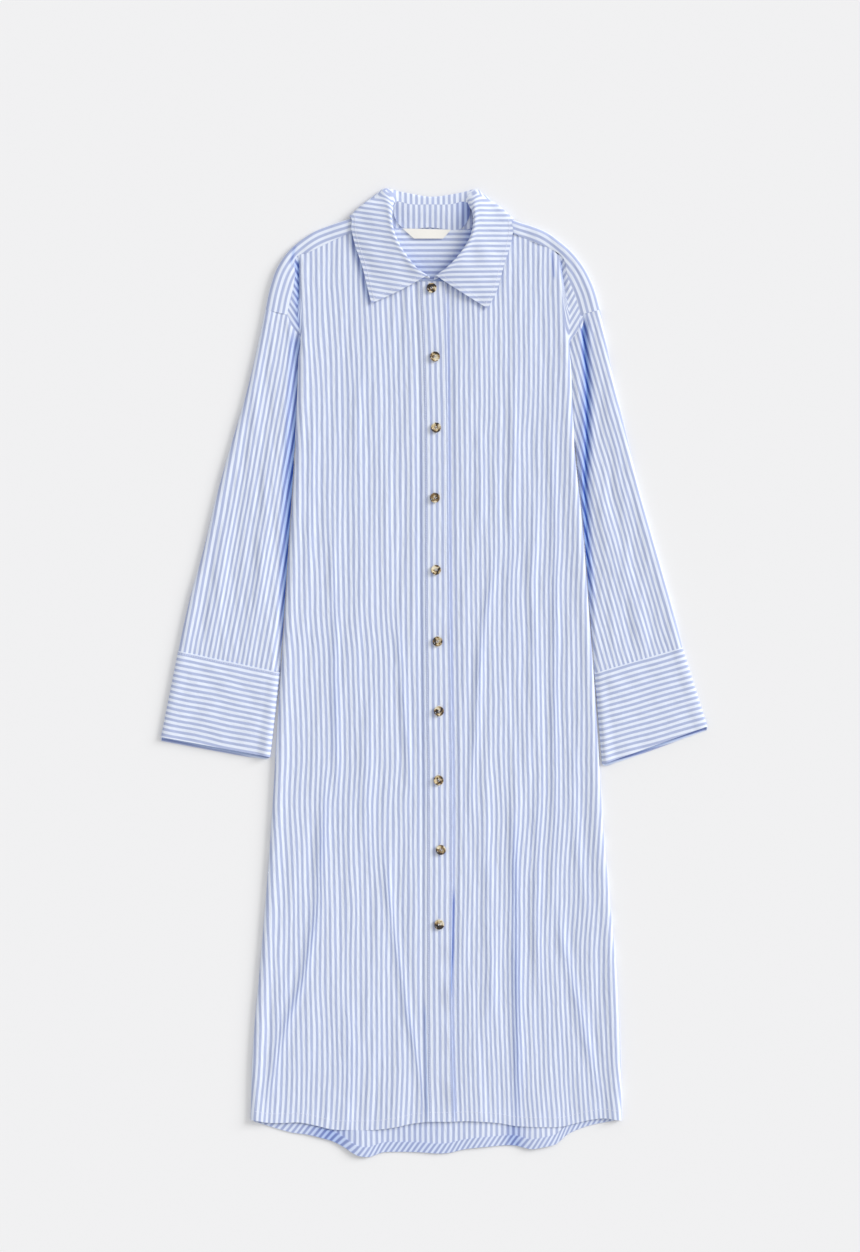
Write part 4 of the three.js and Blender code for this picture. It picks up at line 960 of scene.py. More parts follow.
def sleeve_net(side, rows_of_front, edges, yoke_end):
    """The coarse net of a sleeve: inner edge, upper layer, outer fold and lower layer."""
    sign, edge = side["sign"], side["body_edge"]
    armhole = [edges[j][4].copy() for j, row in enumerate(rows_of_front) if row[0] != "fold"]
    armhole = armhole[:ROWS["valley"] + ROWS["notch"]]
    over_yoke = [p.copy() for p in yoke_end[::-1][1:]]
    upper = [*armhole, *over_yoke[:YOKE_STRIP]]
    fold = over_yoke[YOKE_STRIP:YOKE_STRIP + 3]
    lower = [*over_yoke[YOKE_STRIP + 3:], *along(side["back_armhole"], 3, LOW)[1:]]

    def beside_body(y):
        return x_at(edge, y) + sign * SLEEVE_ASIDE

    underarm = point(beside_body(UNDERARM_Y), UNDERARM_Y + 6, LOW + TUCK_FOLD)
    lower.append(point(underarm[0] + sign * 1.2, BACK_UNDERARM_Y, LOW))
    shares = (np.arange(ROWS["sleeve"] + 1) / ROWS["sleeve"]) ** 1.12
    spots = shares_by_length(side["sleeve_outer"], shares)
    outer = curve(side["sleeve_outer"], spots)
    run = curve(side["sleeve_outer"], spots + 0.01) - curve(side["sleeve_outer"], spots - 0.01)
    run /= np.linalg.norm(run, axis=1, keepdims=True)
    outwards = np.column_stack([run[:, 1] * sign, -run[:, 0] * sign, np.zeros(len(run))])
    outwards *= np.sign(outwards[:, :1]) * sign
    outer = np.column_stack([outer, np.zeros(len(outer))])
    outer_line = outer - outwards * SIDE_FOLD
    inner_y = mix(underarm[1], side["cuff_top"][0][1], shares)
    inner_x = mix(beside_body(inner_y), side["cuff_top"][0][0], smooth(0.85, 1, shares))
    inner = np.column_stack([inner_x, inner_y, np.zeros(len(inner_y))])
    inner_line = inner + point(sign * TUCK_FOLD, 0)

    def fit(points, start_line, end_line):
        bottom = np.array(points) * (1, 1, 0)
        left, right = start_line.copy(), end_line.copy()
        left[0], right[0] = bottom[0], bottom[-1]
        top = mix(left[-1], right[-1], np.linspace(0, 1, len(points))[:, None])
        return stretch(bottom, top, left, right)

    upper_net = fit(upper, inner_line, outer_line)
    lower_net = fit(lower, outer_line, inner_line)
    rings = [[underarm, *upper, *fold, *lower]]
    for j in range(1, len(shares)):
        top_row = upper_net[j].copy()
        for i, p in enumerate(top_row):
            near_fold = smooth(28, 2, np.linalg.norm(outer_line[j] - p))
            beside = beside_body(min(p[1], SHOULDER_Y)) if p[1] > UNDERARM_Y else inner_line[j][0]
            dip = (1 - smooth(0, 14, abs(p[0] - beside))) * (1 - smooth(425, 455, p[1]))
            low_place = VALLEY if side["sign"] < 0 else mix(VALLEY, 4.2, smooth(180, 260, p[1]))
            settled = mix(mix(TOP + 0.3, FOLD_TOP, near_fold), low_place, dip)
            top_row[i, 2] = mix(upper[i][2], settled, 0.6) if j == 1 else settled
        top_row[0, 2] = VALLEY
        top_row[-1, 2] = FOLD_TOP
        fold_row_points = [
            point(*(outer[j] - outwards[j] * inwards * SIDE_FOLD)[:2], LOW + SIDE_FOLD * (1 + height))
            for inwards, height in FOLD_SECTION[1:4]]
        low_row = lower_net[j] + (0, 0, LOW)
        first = point(inner[j][0], inner[j][1], LOW + TUCK_FOLD)
        rings.append([first, *top_row, *fold_row_points, *low_row])
    return np.array(rings)


right_sleeve_net = sleeve_net(SIDES["right"], right_rows, right_edges, right_yoke[0])
left_sleeve_net = sleeve_net(SIDES["left"], left_rows, left_edges, left_yoke[0])
print("coarse net of a sleeve:", right_sleeve_net.shape[:2])

# %% Sleeves
def sleeve(name, key, net):
    """A sleeve with its valley beside the body, painted shade in that valley, its creases and straight
    stripes.
    """
    side = SIDES[key]
    sign = side["sign"]
    fine, _, column_places = fine_net(net, 4.0, 1.8, ring=True)
    x, y = fine[..., 0], fine[..., 1]
    upper = on_upper_layer(column_places)
    on_top = (column_places < SLEEVE_TOP_COLUMNS)[None]
    # depth is painted shade in the valley beside the body: a dark core with shaded flanks along the left
    # sleeve's groove, and a band as wide as the valley on the right sleeve
    if "groove" in side:
        aside = (x - x_at(side["groove"][::-1], y)) * sign
        reach = smooth(40, 150, y) * (1 - smooth(446, 470, y))
        groove = np.exp(-(aside / GROOVE_HALF) ** 2) * reach
        flank = np.where(aside > 0, OUTER_SHADE_FLANK, mix(*INNER_SHADE_FLANK, smooth(280, 460, y)))
        core = np.exp(-(aside / GROOVE_SHADE_CORE) ** 2)
        depth = (0.5 * np.exp(-(aside / flank) ** 4) + 0.5 * core) * reach
    else:
        aside = np.abs(x - x_at(side["body_edge"], y))
        groove = (1 - smooth(5, 13, aside)) * smooth(-40, 30, y) * (1 - smooth(425, 450, y))
        width = np.interp(y, *VALLEY_SHADE_WIDTHS)
        depth = 0.5 * (1 - smooth(0.75, 1, aside / width)) + 0.5 * (1 - smooth(0.1, 0.75, aside / width))
        depth *= (1 - smooth(425, 450, y)) * mix(1, 0.75, smooth(250, 400, y))
    height, taken, shade = crease_lines(x, y, SLEEVE_CREASES[key], sign)
    seed = 31 if key == "right" else 32
    height += waves(x, y, seed, SLEEVE_WAVES)
    down_sleeve = lengths_along(fine)
    ends = smooth(2, 24, down_sleeve) * smooth(0, 18, down_sleeve[-1:] - down_sleeve)
    mask = upper[None] * ends
    fine[..., 2] += height * mask * (1 - groove)
    fine[..., 2] = mix(fine[..., 2], np.minimum(fine[..., 2], VALLEY_FLOOR), groove * on_top)
    to_cuff = down_sleeve[-1:] - down_sleeve
    seam_dip = np.exp(-(down_sleeve / SEAM_DIP_HALF) ** 2) + np.exp(-(to_cuff / SEAM_DIP_HALF) ** 2)
    fine[..., 2] -= SEAM_DIP * seam_dip * upper[None]
    fine[..., 2] = np.maximum(fine[..., 2], LOW)

    # On the upper layer the stripes lie straight across the sleeve, below it they go on round the fold
    tilt = math.radians(SLEEVE_LEAN[key])
    planar = sign * x * math.cos(tilt) + y * math.sin(tilt)
    wobble = waves(x, y, seed + 20, SLEEVE_WOBBLE)
    u = planar * SLEEVE_CROWDING[key] + (taken + wobble) * mask
    around = lengths_across(fine, ring=True)
    fold = np.searchsorted(column_places, SLEEVE_TOP_COLUMNS + 2)
    u = np.concatenate([u, u[:, :1]], axis=1)
    beyond = np.arange(u.shape[1])[None] > fold
    u = np.where(beyond, u[:, fold:fold + 1] + around - around[:, fold:fold + 1], u)
    v = np.repeat(down_sleeve.mean(axis=1)[:, None], u.shape[1], axis=1)
    piece = cloth(name, fine, u, v, CLOTH_WALL, ring=True, depth=(depth + shade) * on_top)
    dress_piece(piece, name, u, v)


sleeve("sleeve_right", "right", right_sleeve_net)
sleeve("sleeve_left", "left", left_sleeve_net)

# %% Cuffs
CUFF_PUFF = 0.5
CUFF_WAVES = [(0.3, 44, 44)]
CUFF_WOBBLE = [(0.35, 90, 90)]
OPENING_SHADE = 0.6


def cuff(name, key, net):
    """A pressed tube from the sleeve's last ring to the wrist, a little longer underneath, with painted shade
    on that longer part.
    """
    side = SIDES[key]
    seam = net[-1]
    columns = len(seam)
    inner, outer = (point(*p) for p in side["cuff_end"])
    run = inner - point(*side["cuff_top"][0])
    run /= np.linalg.norm(run)
    across = (outer - inner) / np.linalg.norm(outer - inner)
    outer_column = SLEEVE_TOP_COLUMNS + 2
    end = []
    for i, p in enumerate(seam):
        on_top = i <= outer_column
        share = i / outer_column if on_top else (columns - i) / (columns - outer_column)
        reach = np.dot(p - seam[0], across) / np.dot(seam[outer_column] - seam[0], across)
        place = mix(inner, outer, min(max(reach, 0), 1))
        fold_edge = i in (0, outer_column)
        height = 0 if fold_edge else (0.707 if abs(i - outer_column) == 1 else 1)
        extra = 0 if on_top else CUFF_UNDERLAP * smooth(0, 0.25, share)
        z = LOW + CUFF_FOLD * (1 + (height if on_top else -height))
        end.append(point(*(place + run * extra)[:2], z))
    shares = np.linspace(0, 1, ROWS["cuff"] + 1)[:, None, None]
    coarse = mix(seam[None], np.array(end)[None], shares)
    fine, row_places, column_places = fine_net(coarse, 3.0, 2.6, ring=True)
    upper = on_upper_layer(column_places)
    down_cuff = lengths_along(fine)
    seed = 41 if key == "right" else 42
    height = waves(fine[..., 0], fine[..., 1], seed, CUFF_WAVES)
    fine[..., 2] += height * upper[None] * smooth(0, 14, down_cuff)
    fine[..., 2] += CUFF_PUFF * upper[None] * smooth(3, 10, down_cuff) * (1 - smooth(80, 108, down_cuff))
    fine[..., 2] = np.maximum(fine[..., 2], LOW)
    u = np.concatenate([down_cuff, down_cuff[:, :1]], axis=1)
    u = u + waves(lengths_across(fine, ring=True), u, seed + 10, CUFF_WOBBLE)
    u[:, -1] = u[:, 0]
    v = lengths_across(fine, ring=True)
    to_end = down_cuff[-1:] - down_cuff
    beneath = 1 - smooth(outer_column - 0.5, outer_column + 0.5, column_places)
    # Painted shade on the lower layer near the wrist, where the upper layer's edge overhangs it
    opening_painted_shade = OPENING_SHADE * (1 - beneath[None]) * smooth(1.6, 2.8, to_end) * (1 - smooth(8, 14, to_end))
    piece = cloth(name, fine, u, v, 1.0, ring=True, depth=opening_painted_shade)
    dress_piece(piece, name, u, v)


cuff("cuff_right", "right", right_sleeve_net)
cuff("cuff_left", "left", left_sleeve_net)

# %% [markdown]
# ## The back
# The back is one panel, flat on the table. It shows below the fronts as a dipped hem, whose
# edge waves where the cloth lifts off the table.

# %% Back
HEM_SLANT = 0.7
# Painted shade: a little over the whole turned hem, and in patches (centre, half width, darkness) below the
# fronts' hem
HEM_TURN_SHADE = 0.15
BACK_WOBBLE = [(0.5, 60, 150)]
HEM_SHADES = [(-136, 26, 0.5), (104, 11, 0.5), (-30, 60, 0.1)]
HEM_WAVES = [(-98, 26, 2.6), (-150, 22, 1.0), (5, 40, 1.0), (60, 20, 1.2), (138, 28, 2.6)]


def back_net():
    """The coarse net of the back: between the folds of the fronts, the armholes and the hem."""
    right, left = SIDES["right"], SIDES["left"]
    edges = []
    for side, rows in ((right, right_rows), (left, left_rows)):
        folded = [row for row in rows if row[0] == "fold"]
        inset = side["sign"] * (SIDE_FOLD + SEAM)
        seam = [point(x - inset, y, LOW) for _, x, y, _ in folded]
        hold = point(seam[-1][0], BACK_UNDERARM_Y - 2, LOW)
        armhole = along(side["back_armhole"][::-1], 3, LOW)
        edges.append(np.array([*seam, hold, *armhole]))
    hem = along(BACK_HEM, COLUMNS["back"], LOW)
    edges[0][0], edges[1][0] = hem[0], hem[-1]
    top = mix(edges[0][-1], edges[1][-1], np.linspace(0, 1, COLUMNS["back"] + 1)[:, None])
    return stretch(hem, top, edges[0], edges[1])


back_fine, _, _ = fine_net(back_net(), 6.0, 6.0)
x, y = back_fine[..., 0], back_fine[..., 1]
near_hem = smooth(-540, -612, y)
for centre, half, lift in HEM_WAVES:
    back_fine[..., 2] += lift * near_hem * np.exp(-((x - centre) / half) ** 2)
u = x + waves(x, y, 51, BACK_WOBBLE)


def hem_shade(x, y):
    """Where the back lies in the shade of the fronts' hem."""
    patches = sum(share * np.exp(-((x - centre) / half) ** 2) for centre, half, share in HEM_SHADES)
    return patches * smooth(-570, -590, y)


# depth is painted shade where the fronts' hem shades the back
back_piece = cloth("back", back_fine, u, y, CLOTH_WALL, depth=hem_shade(x, y))
dress_piece(back_piece, "back", u, y)

# %% Turned hem of the back
to_hem = lengths_along(back_fine)
heights = np.linspace(0.3, HEM_TURN, 7)
columns = []
for k in range(back_fine.shape[1]):
    columns.append([np.interp(heights, to_hem[:, k], back_fine[:, k, axis]) for axis in range(3)])
turn = np.array(columns).transpose(2, 0, 1)
turn[..., 2] += CLOTH_WALL / 2 + 0.32
u = turn[..., 0] - HEM_SLANT * heights[:, None] + STRIPE_REPEAT / 2
v = np.repeat(heights[:, None], turn.shape[1], axis=1)
# Painted shade: the fronts' hem shade, and a little more over the whole turned hem
shade = hem_shade(turn[..., 0], turn[..., 1]) + HEM_TURN_SHADE
turn_piece = cloth("back_hem", turn, u, v, 0.5, depth=shade)
dress_piece(turn_piece, None, u, v)

# %% [markdown]
# ## The placket
# Two bands close the front. The button band lies underneath, the buttonhole band on top, and
# between the buttons the top band puffs up a little. Below the last button it is free, and
# its open edge lifts off the left front.

# %% Bands
BUTTONS = [(-3.4, 499.4), (1, 410.4), (2.3, 318.1), (1, 227.1), (2.3, 133.5),
           (4.3, 40.6), (6.1, -49.8), (5.6, -139.5), (8.6, -229.8), (6.5, -326.7)]


BUTTON_HOLD = 16
BAND_PUFF, FREE_EDGE_LIFTS = 0.5, (0.7, 1.9)
BAND_WOBBLE = [(0.25, 300, 90)]


def band(name, height, insets, step, lifts):
    """A long narrow band from hem to neck, doubled cloth."""
    right, left = SIDES["right"]["band_seam"], SIDES["left"]["band_seam"]
    y = np.linspace(right[0][1], NECK_FRONT_Y - 1.2, 61)
    start = np.column_stack([x_at(right, y) + insets[0], y, np.full(61, height)])
    end = np.column_stack([x_at(left, y) - insets[1], y, np.full(61, height)])
    coarse = mix(start[:, None], end[:, None], np.linspace(0, 1, 4)[None, :, None])
    fine, _, column_places = fine_net(coarse, step, 2.0)
    x, y = fine[..., 0], fine[..., 1]
    share = column_places[None] / 3
    if lifts:
        held = sum(np.exp(-((y - button_y) / BUTTON_HOLD) ** 2) for _, button_y in BUTTONS)
        held = np.clip(held, 0, 1)
        puff = np.sin(math.pi * np.clip(share, 0, 1)) * BAND_PUFF
        free_edge = smooth(0.5, 1.0, share) * (0.8 + 0.5 * ripples(x, y, 61, 400, 70))
        below = smooth(-335, -380, y) * (1 - smooth(-540, -585, y))
        fine[..., 2] += (puff + free_edge * mix(*FREE_EDGE_LIFTS, below)) * (1 - held)
        fine[..., 2] -= 1.3 * smooth(-520, -583, y) * smooth(0, 0.3, share)
        fine[..., 2] -= 0.5 * np.exp(-(share / 0.08) ** 2)
    wobble = waves(x, y, 62, BAND_WOBBLE)
    u = lengths_across(fine) + wobble + insets[0]
    wall = 0.8 if lifts else 0.7
    piece = cloth(name, fine, u, y, wall)
    dress_piece(piece, name, u, y)


band("button_band", BUTTON_BAND_Z, (2.5, SEAM), 6.0, False)
band("buttonhole_band", BUTTONHOLE_BAND_Z, (SEAM, 0.2), 3.0, True)

# %% [markdown]
# ## The collar
# The collar is a stand round the neck and a leaf that rolls over it and ends in two points.
# Both are cut from one set of sections round the neck, so that the roll is smooth, and parted
# at the seam on top of the stand. The leaf is two layers of cloth with a stiffer one between.

# %% Collar sections
# Columns: neck seam, top of the stand, roll, middle of the leaf, outer edge
COLLAR = [
    ((-6, 510.4, 5.4), (-6, 513, 7.2), (-9, 515, 9.6), (-44, 496.4, 8.4), (-81.5, 479.3, 7.2)),
    ((-22, 517, 5.4), (-18.5, 520, 8.6), (-19.5, 521.5, 12), (-53, 509, 9.2), (-85, 493, 7.2)),
    ((-38, 537, 5.4), (-36.5, 541, 10), (-37, 542, 12.5), (-66, 533, 10.2), (-93, 526, 7.2)),
    ((-52, 563, 5.4), (-50.5, 567, 10), (-51, 567, 13), (-78, 565, 10.6), (-104, 560, 7.4)),
    ((-57.5, 589, 5.6), (-55.5, 592, 10), (-56.4, 592, 13.2), (-82, 588, 11), (-107.6, 578, 8.2)),
    ((-56.8, 600, 5.8), (-53.8, 601, 9.2), (-57.6, 604, 13), (-84, 602.5, 10), (-107.5, 589.6, 8.4)),
    ((-55.6, 605.5, 5.4), (-53.6, 607, 7.8), (-61, 615, 10), (-87, 611, 7.4), (-109.3, 591.7, 7.3)),
    ((-54, 607.8, 4.2), (-52, 611, 6.4), (-65.3, 628.8, 5.2), (-87.6, 612.2, 4.6), (-110, 592.6, 4.5)),
    ((-53.2, 605.5, 3.2), (-48.5, 612, 5.6), (-62.6, 628.7, 3.9), (-87, 611, 1.8), (-109.3, 591.7, 1.75)),
    ((-53, 598, 2.6), (-44.5, 611.5, 5.1), (-57, 627.4, 2.9), (-82.5, 606, 0.6), (-107.5, 589.4, 0.6)),
    ((-43, 579.6, 2.2), (-35, 609, 4.8), (-33, 622.5, 2.7), (-44, 592, 0.6), (-57, 568, 0.6)),
    ((-5, 578.4, 2.2), (-5, 608, 4.8), (-5, 618, 2.7), (-5, 590, 0.6), (-5, 563, 0.6)),
    ((37, 578.4, 2.2), (26, 609, 4.8), (25, 621.5, 2.7), (35, 592, 0.6), (49, 567, 0.6)),
    ((46.4, 597, 2.6), (36, 611.5, 5.1), (47.5, 626.2, 2.9), (74.5, 603, 0.6), (100.8, 586, 0.6)),
    ((46.6, 604, 3.2), (40, 611.5, 5.6), (53, 627.4, 3.9), (79, 608, 1.8), (102.7, 588.2, 1.75)),
    ((47.4, 606.3, 4.2), (43.6, 610, 6.4), (55.6, 627.5, 5.2), (79.6, 609, 4.6), (103.5, 589, 4.5)),
    ((49, 604, 5.4), (45.4, 606, 7.8), (53, 614, 10), (79, 608, 7.4), (102.7, 588.2, 7.3)),
    ((50, 598.6, 5.8), (49, 600, 9.2), (52, 603, 13.2), (76.5, 600, 10.2), (101, 586.2, 8.4)),
    ((51.5, 587, 5.6), (50.8, 590, 10.4), (52.5, 590, 15.6), (77, 586, 11.4), (102.2, 576, 8.2)),
    ((47.5, 561, 5.4), (47, 566, 10.4), (48.5, 566, 16), (74, 564, 11.4), (100.5, 562, 7.4)),
    ((33, 537, 5.4), (32.5, 541.5, 10.4), (33.5, 542.5, 15.5), (62, 532, 10.9), (91, 530, 7.2)),
    ((15.5, 517, 5.4), (14, 521.5, 9), (14.5, 523.5, 12.8), (46, 508, 9.7), (80, 493, 7.2)),
    ((-0.5, 510.4, 5.4), (0.4, 513, 7.2), (2, 515, 9.9), (35, 494, 8.7), (69.3, 472.8, 7.2)),
]


def collar_net():
    """Sections from neck to edge, with one more point where the leaf falls from its roll."""
    sections = []
    for section in COLLAR:
        neck, stand, roll, middle, edge = (point(*p) for p in section)
        falling = mix(roll, middle, 0.22)
        falling[2] = mix(roll[2], middle[2], mix(0.95, 0.3, smooth(3, 8, roll[2])))
        sections.append([neck, stand, roll, falling, middle, edge])
    return np.array(sections).transpose(1, 0, 2)


# %% Collar and stand
COLLAR_WALL = 1.1
RIGHT_LEAF_TILT, LEFT_LEAF_TILT = math.radians(-9), math.radians(1)
COLLAR_CROWDING = 1.08
ROLL_BEND = 0.04
LEAF_WAVES = [(0.45, 38, 60)]
STAND_SHADE = 0.7
STAND_ROW = 1
LEAF_RIGHT_END, LEAF_LEFT_END = 7, 15

collar_fine, collar_rows, collar_columns = fine_net(collar_net(), 2.0, 2.4)
collar_fine[..., 2] = np.maximum(collar_fine[..., 2], LOW)
x, y = collar_fine[..., 0], collar_fine[..., 1]
corner_right, corner_left = (-62.0, 615.0), (53.0, 614.0)


def tilted(tilt, corner):
    """Distance up a leaf whose stripes are tilted, from the corner of the neck."""
    return ((y - corner[1]) * math.cos(tilt) - (x - corner[0]) * math.sin(tilt)) * COLLAR_CROWDING


on_right = 1 - smooth(LEAF_RIGHT_END - 0.7, LEAF_RIGHT_END + 0.7, collar_columns)[None]
on_left = smooth(LEAF_LEFT_END - 0.7, LEAF_LEFT_END + 0.7, collar_columns)[None]
roll_row = np.searchsorted(collar_rows, 2)
from_neck = lengths_along(collar_fine)
inside_roll = np.clip(from_neck[roll_row:roll_row + 1] + 8 - from_neck, 0, 12)
bend = ROLL_BEND * inside_roll**2
back_across = x - corner_right[0]
left_start = corner_left[0] - corner_right[0]
collar_u = (on_right * (tilted(RIGHT_LEAF_TILT, corner_right) + bend)
            + on_left * (left_start - tilted(LEFT_LEAF_TILT, corner_left) - bend)
            + (1 - on_right - on_left) * back_across)
collar_v = lengths_along(collar_fine)
leaf_part = smooth(2.2, 3.4, collar_rows)[:, None]
edge_distance = collar_v[-1:] - collar_v
on_front = np.maximum(on_right, on_left)
soft = waves(x, y, 71, LEAF_WAVES)
collar_fine[..., 2] += soft * leaf_part * on_front * smooth(0, 10, edge_distance)
collar_normals = normals_of(collar_fine)
split = np.searchsorted(collar_rows, STAND_ROW)

stand_rows = slice(0, split + 1)
half_repeat = STRIPE_REPEAT / 2 * (1 - on_right - on_left)
# Painted shade on the stand's left side, beside the collar's left leaf
stand_shade = STAND_SHADE * smooth(20, 48, x) * smooth(560, 585, y)
stand_piece = cloth("collar_stand", collar_fine[stand_rows], collar_u[stand_rows] + half_repeat,
                    collar_v[stand_rows], 0.9, normals=collar_normals[stand_rows],
                    depth=stand_shade[stand_rows])
dress_piece(stand_piece, "collar_stand", collar_u[stand_rows], collar_v[stand_rows])
leaf_rows = slice(split, None)
leaf_piece = cloth("collar", collar_fine[leaf_rows], collar_u[leaf_rows], collar_v[leaf_rows],
                   COLLAR_WALL, normals=collar_normals[leaf_rows])
dress_piece(leaf_piece, "collar", collar_u[leaf_rows], collar_v[leaf_rows])

# %% [markdown]
# ## Label
# A woven tape with its lower corners folded away is sewn under the back of the neck. It is
# left bare. Its satin weave has a finer and smoother face than the cotton.

# %% Label
LABEL_TOP = [(-41.2, 577), (21.8, 575.4)]
LABEL_BOTTOM = [(-26.3, 563.8), (11.4, 563.8)]
LABEL_Z, LABEL_BOW = 3.8, 0.5


def label_tape():
    """Cream satin-woven polyester tape with fine ribs across it."""
    material, tree, shader = new_material("satin_woven_tape")
    flat_tape = add_node(tree, "UVMap", {"uv_map": "cloth"}).outputs["UV"]
    ribs = add_node(tree, "TexWave", {"bands_direction": "Y"}, {
        "Vector": add_node(tree, "Mapping", inputs={
            "Vector": flat_tape, "Scale": (1, 1 / (0.5 * MM), 1)}).outputs["Vector"],
        "Scale": 1 / (2 * math.pi), "Distortion": 0.4})
    bump = add_node(tree, "Bump", inputs={
        "Height": ribs.outputs["Fac"], "Strength": 0.3, "Distance": 0.08 * MM})
    tone = add_node(tree, "Mix", {"data_type": "RGBA"}, {
        "Factor": ribs.outputs["Fac"], "A": linear("#EFECE4"), "B": linear("#F8F6F0")})
    tree.links.new(tone.outputs["Result"], shader.inputs["Base Color"])
    tree.links.new(bump.outputs["Normal"], shader.inputs["Normal"])
    shader.inputs["Roughness"].default_value = 0.5
    shader.inputs["Sheen Weight"].default_value = 0.2
    return material


ends = [np.array([point(*p) for p in line]) for line in (LABEL_BOTTOM, LABEL_TOP)]
share = np.linspace(0, 1, 41)[None, :, None]
rows = np.linspace(0, 1, 13)[:, None, None]
tape = mix(mix(ends[0][0], ends[0][1], share), mix(ends[1][0], ends[1][1], share), rows)
tape[..., 2] = LABEL_Z + LABEL_BOW * np.sin(math.pi * share[..., 0]) + 0.3 * (1 - rows[..., 0])
label_piece = cloth("neck_label", tape, tape[..., 0], tape[..., 1], 0.5, material=label_tape())
dress_piece(label_piece, "neck_label", tape[..., 0], tape[..., 1])

# %% [markdown]
# ## Buttons
# The buttons are turned from tortoiseshell acetate: a disc with a raised rim, a shallow dish
# and four holes, sewn on with pale thread. One is modelled from a cylinder, with its dish
# inset and its rim rounded, the holes are cut by a boolean, and the rest are copies.

# %% Tortoiseshell
def tortoiseshell():
    """Polished cellulose acetate with amber and cream clouds in dark brown."""
    material, tree, shader = new_material("polished_acetate")
    place = add_node(tree, "TexCoord").outputs["Object"]
    clouds = add_node(tree, "TexNoise", inputs={
        "Vector": place, "Scale": 1 / (7 * MM), "Detail": 2.5, "Roughness": 0.5, "Distortion": 0.8})
    ramp = add_node(tree, "ValToRGB", inputs={"Fac": clouds.outputs["Fac"]})
    stops = ramp.color_ramp.elements
    stops[0].position, stops[0].color = 0.36, linear("#17110D")
    stops[1].position, stops[1].color = 0.62, linear("#E8DDC2")
    for position, shade in ((0.43, "#33241A"), (0.49, "#85683F"), (0.55, "#C8B488")):
        stop = stops.new(position)
        stop.color = linear(shade)
    tree.links.new(ramp.outputs["Color"], shader.inputs["Base Color"])
    shader.inputs["Roughness"].default_value = 0.18
    shader.inputs["IOR"].default_value = 1.48
    shader.inputs["Coat Weight"].default_value = 0.4
    shader.inputs["Coat Roughness"].default_value = 0.08
    return material


def sewing_thread():
    """Pale spun polyester thread, two plies twisted, drawn as fine slanting ribs."""
    material, tree, shader = new_material("spun_sewing_thread")
    place = add_node(tree, "TexCoord").outputs["Object"]
    fuzz = add_node(tree, "TexNoise", inputs={"Vector": place, "Scale": 1 / (0.4 * MM), "Detail": 1.0})
    tone = add_node(tree, "Mix", {"data_type": "RGBA"}, {
        "Factor": fuzz.outputs["Fac"], "A": linear("#DCE2F4"), "B": linear("#F6F7FD")})
    tree.links.new(tone.outputs["Result"], shader.inputs["Base Color"])
    shader.inputs["Roughness"].default_value = 0.75
    return material


acetate = tortoiseshell()
thread = sewing_thread()
print("materials:", acetate.name, thread.name)

# %% One button
BUTTON_RADIUS = 6.4
BUTTON_THICK = 2.4
BUTTON_GAP = 0.25
HOLE_RADIUS, HOLE_PLACE = 0.75, 1.5
BUTTON_SIT = 5.45 + 0.6 + BUTTON_GAP


def select_faces(mesh, wanted):
    """Selects the faces of a mesh in edit mode that a test on centre and normal accepts."""
    bpy.ops.object.mode_set(mode="OBJECT")
    for polygon in mesh.polygons:
        polygon.select = wanted(polygon.center, polygon.normal)
    bpy.ops.object.mode_set(mode="EDIT")


def model_button():
    """A four-hole button of its real size, standing on the origin."""
    bpy.ops.object.select_all(action="DESELECT")
    bpy.ops.mesh.primitive_cylinder_add(vertices=48, radius=BUTTON_RADIUS * MM, depth=BUTTON_THICK * MM,
                                        location=(0, 0, BUTTON_THICK / 2 * MM))
    button = bpy.context.object
    button.name = "button_model"
    bpy.ops.object.mode_set(mode="EDIT")
    bpy.ops.mesh.select_mode(type="FACE")
    half = BUTTON_THICK / 2 * MM
    select_faces(button.data, lambda centre, normal: normal.z > 0.9 and centre.z > half * 0.9)
    bpy.ops.mesh.inset(thickness=1.5 * MM, depth=0)
    bpy.ops.mesh.inset(thickness=0.7 * MM, depth=-0.55 * MM)
    bpy.ops.mesh.inset(thickness=1.4 * MM, depth=-0.12 * MM)
    bpy.ops.object.mode_set(mode="OBJECT")
    bpy.ops.object.transform_apply(location=True, rotation=True, scale=True)
    for angle in (45, 135, 225, 315):
        turn = math.radians(angle)
        spot = (HOLE_PLACE * math.cos(turn) * MM, HOLE_PLACE * math.sin(turn) * MM, half)
        bpy.ops.mesh.primitive_cylinder_add(vertices=16, radius=HOLE_RADIUS * MM, depth=8 * MM,
                                            location=spot)
        drill = bpy.context.object
        bpy.ops.object.select_all(action="DESELECT")
        button.select_set(True)
        bpy.context.view_layer.objects.active = button
        cut = button.modifiers.new("hole", "BOOLEAN")
        cut.operation = "DIFFERENCE"
        cut.solver = "EXACT"
        cut.object = drill
        bpy.ops.object.modifier_apply(modifier=cut.name)
        bpy.data.objects.remove(drill)
    edge = button.modifiers.new("edge", "BEVEL")
    edge.width = 0.28 * MM
    edge.segments = 3
    edge.limit_method = "ANGLE"
    edge.angle_limit = math.radians(35)
    bpy.ops.object.modifier_apply(modifier=edge.name)
    bpy.ops.object.shade_smooth_by_angle(angle=math.radians(35))
    button.data.materials.append(acetate)
    return button


def model_button_thread():
    """Two bars of thread between the holes, and a short shank below."""
    bars = []
    for sign in (-1, 1):
        offset = sign * HOLE_PLACE * math.sin(math.radians(45)) * MM
        bpy.ops.object.select_all(action="DESELECT")
        bpy.ops.mesh.primitive_torus_add(
            major_radius=1.12 * MM, minor_radius=0.33 * MM, major_segments=24, minor_segments=8,
            location=(offset, 0, (BUTTON_THICK - 0.95) * MM), rotation=(0, math.radians(90), 0))
        bars.append(bpy.context.object)
    bpy.ops.object.select_all(action="DESELECT")
    for bar in bars:
        bar.select_set(True)
    bpy.context.view_layer.objects.active = bars[0]
    bpy.ops.object.join()
    sewing = bpy.context.object
    bpy.ops.object.transform_apply(location=True, rotation=True, scale=True)
    sewing.name = "thread_model"
    sewing.data.materials.append(thread)
    bpy.ops.object.shade_smooth()
    return sewing


button_model = model_button()
thread_model = model_button_thread()
print("button faces:", len(button_model.data.polygons))

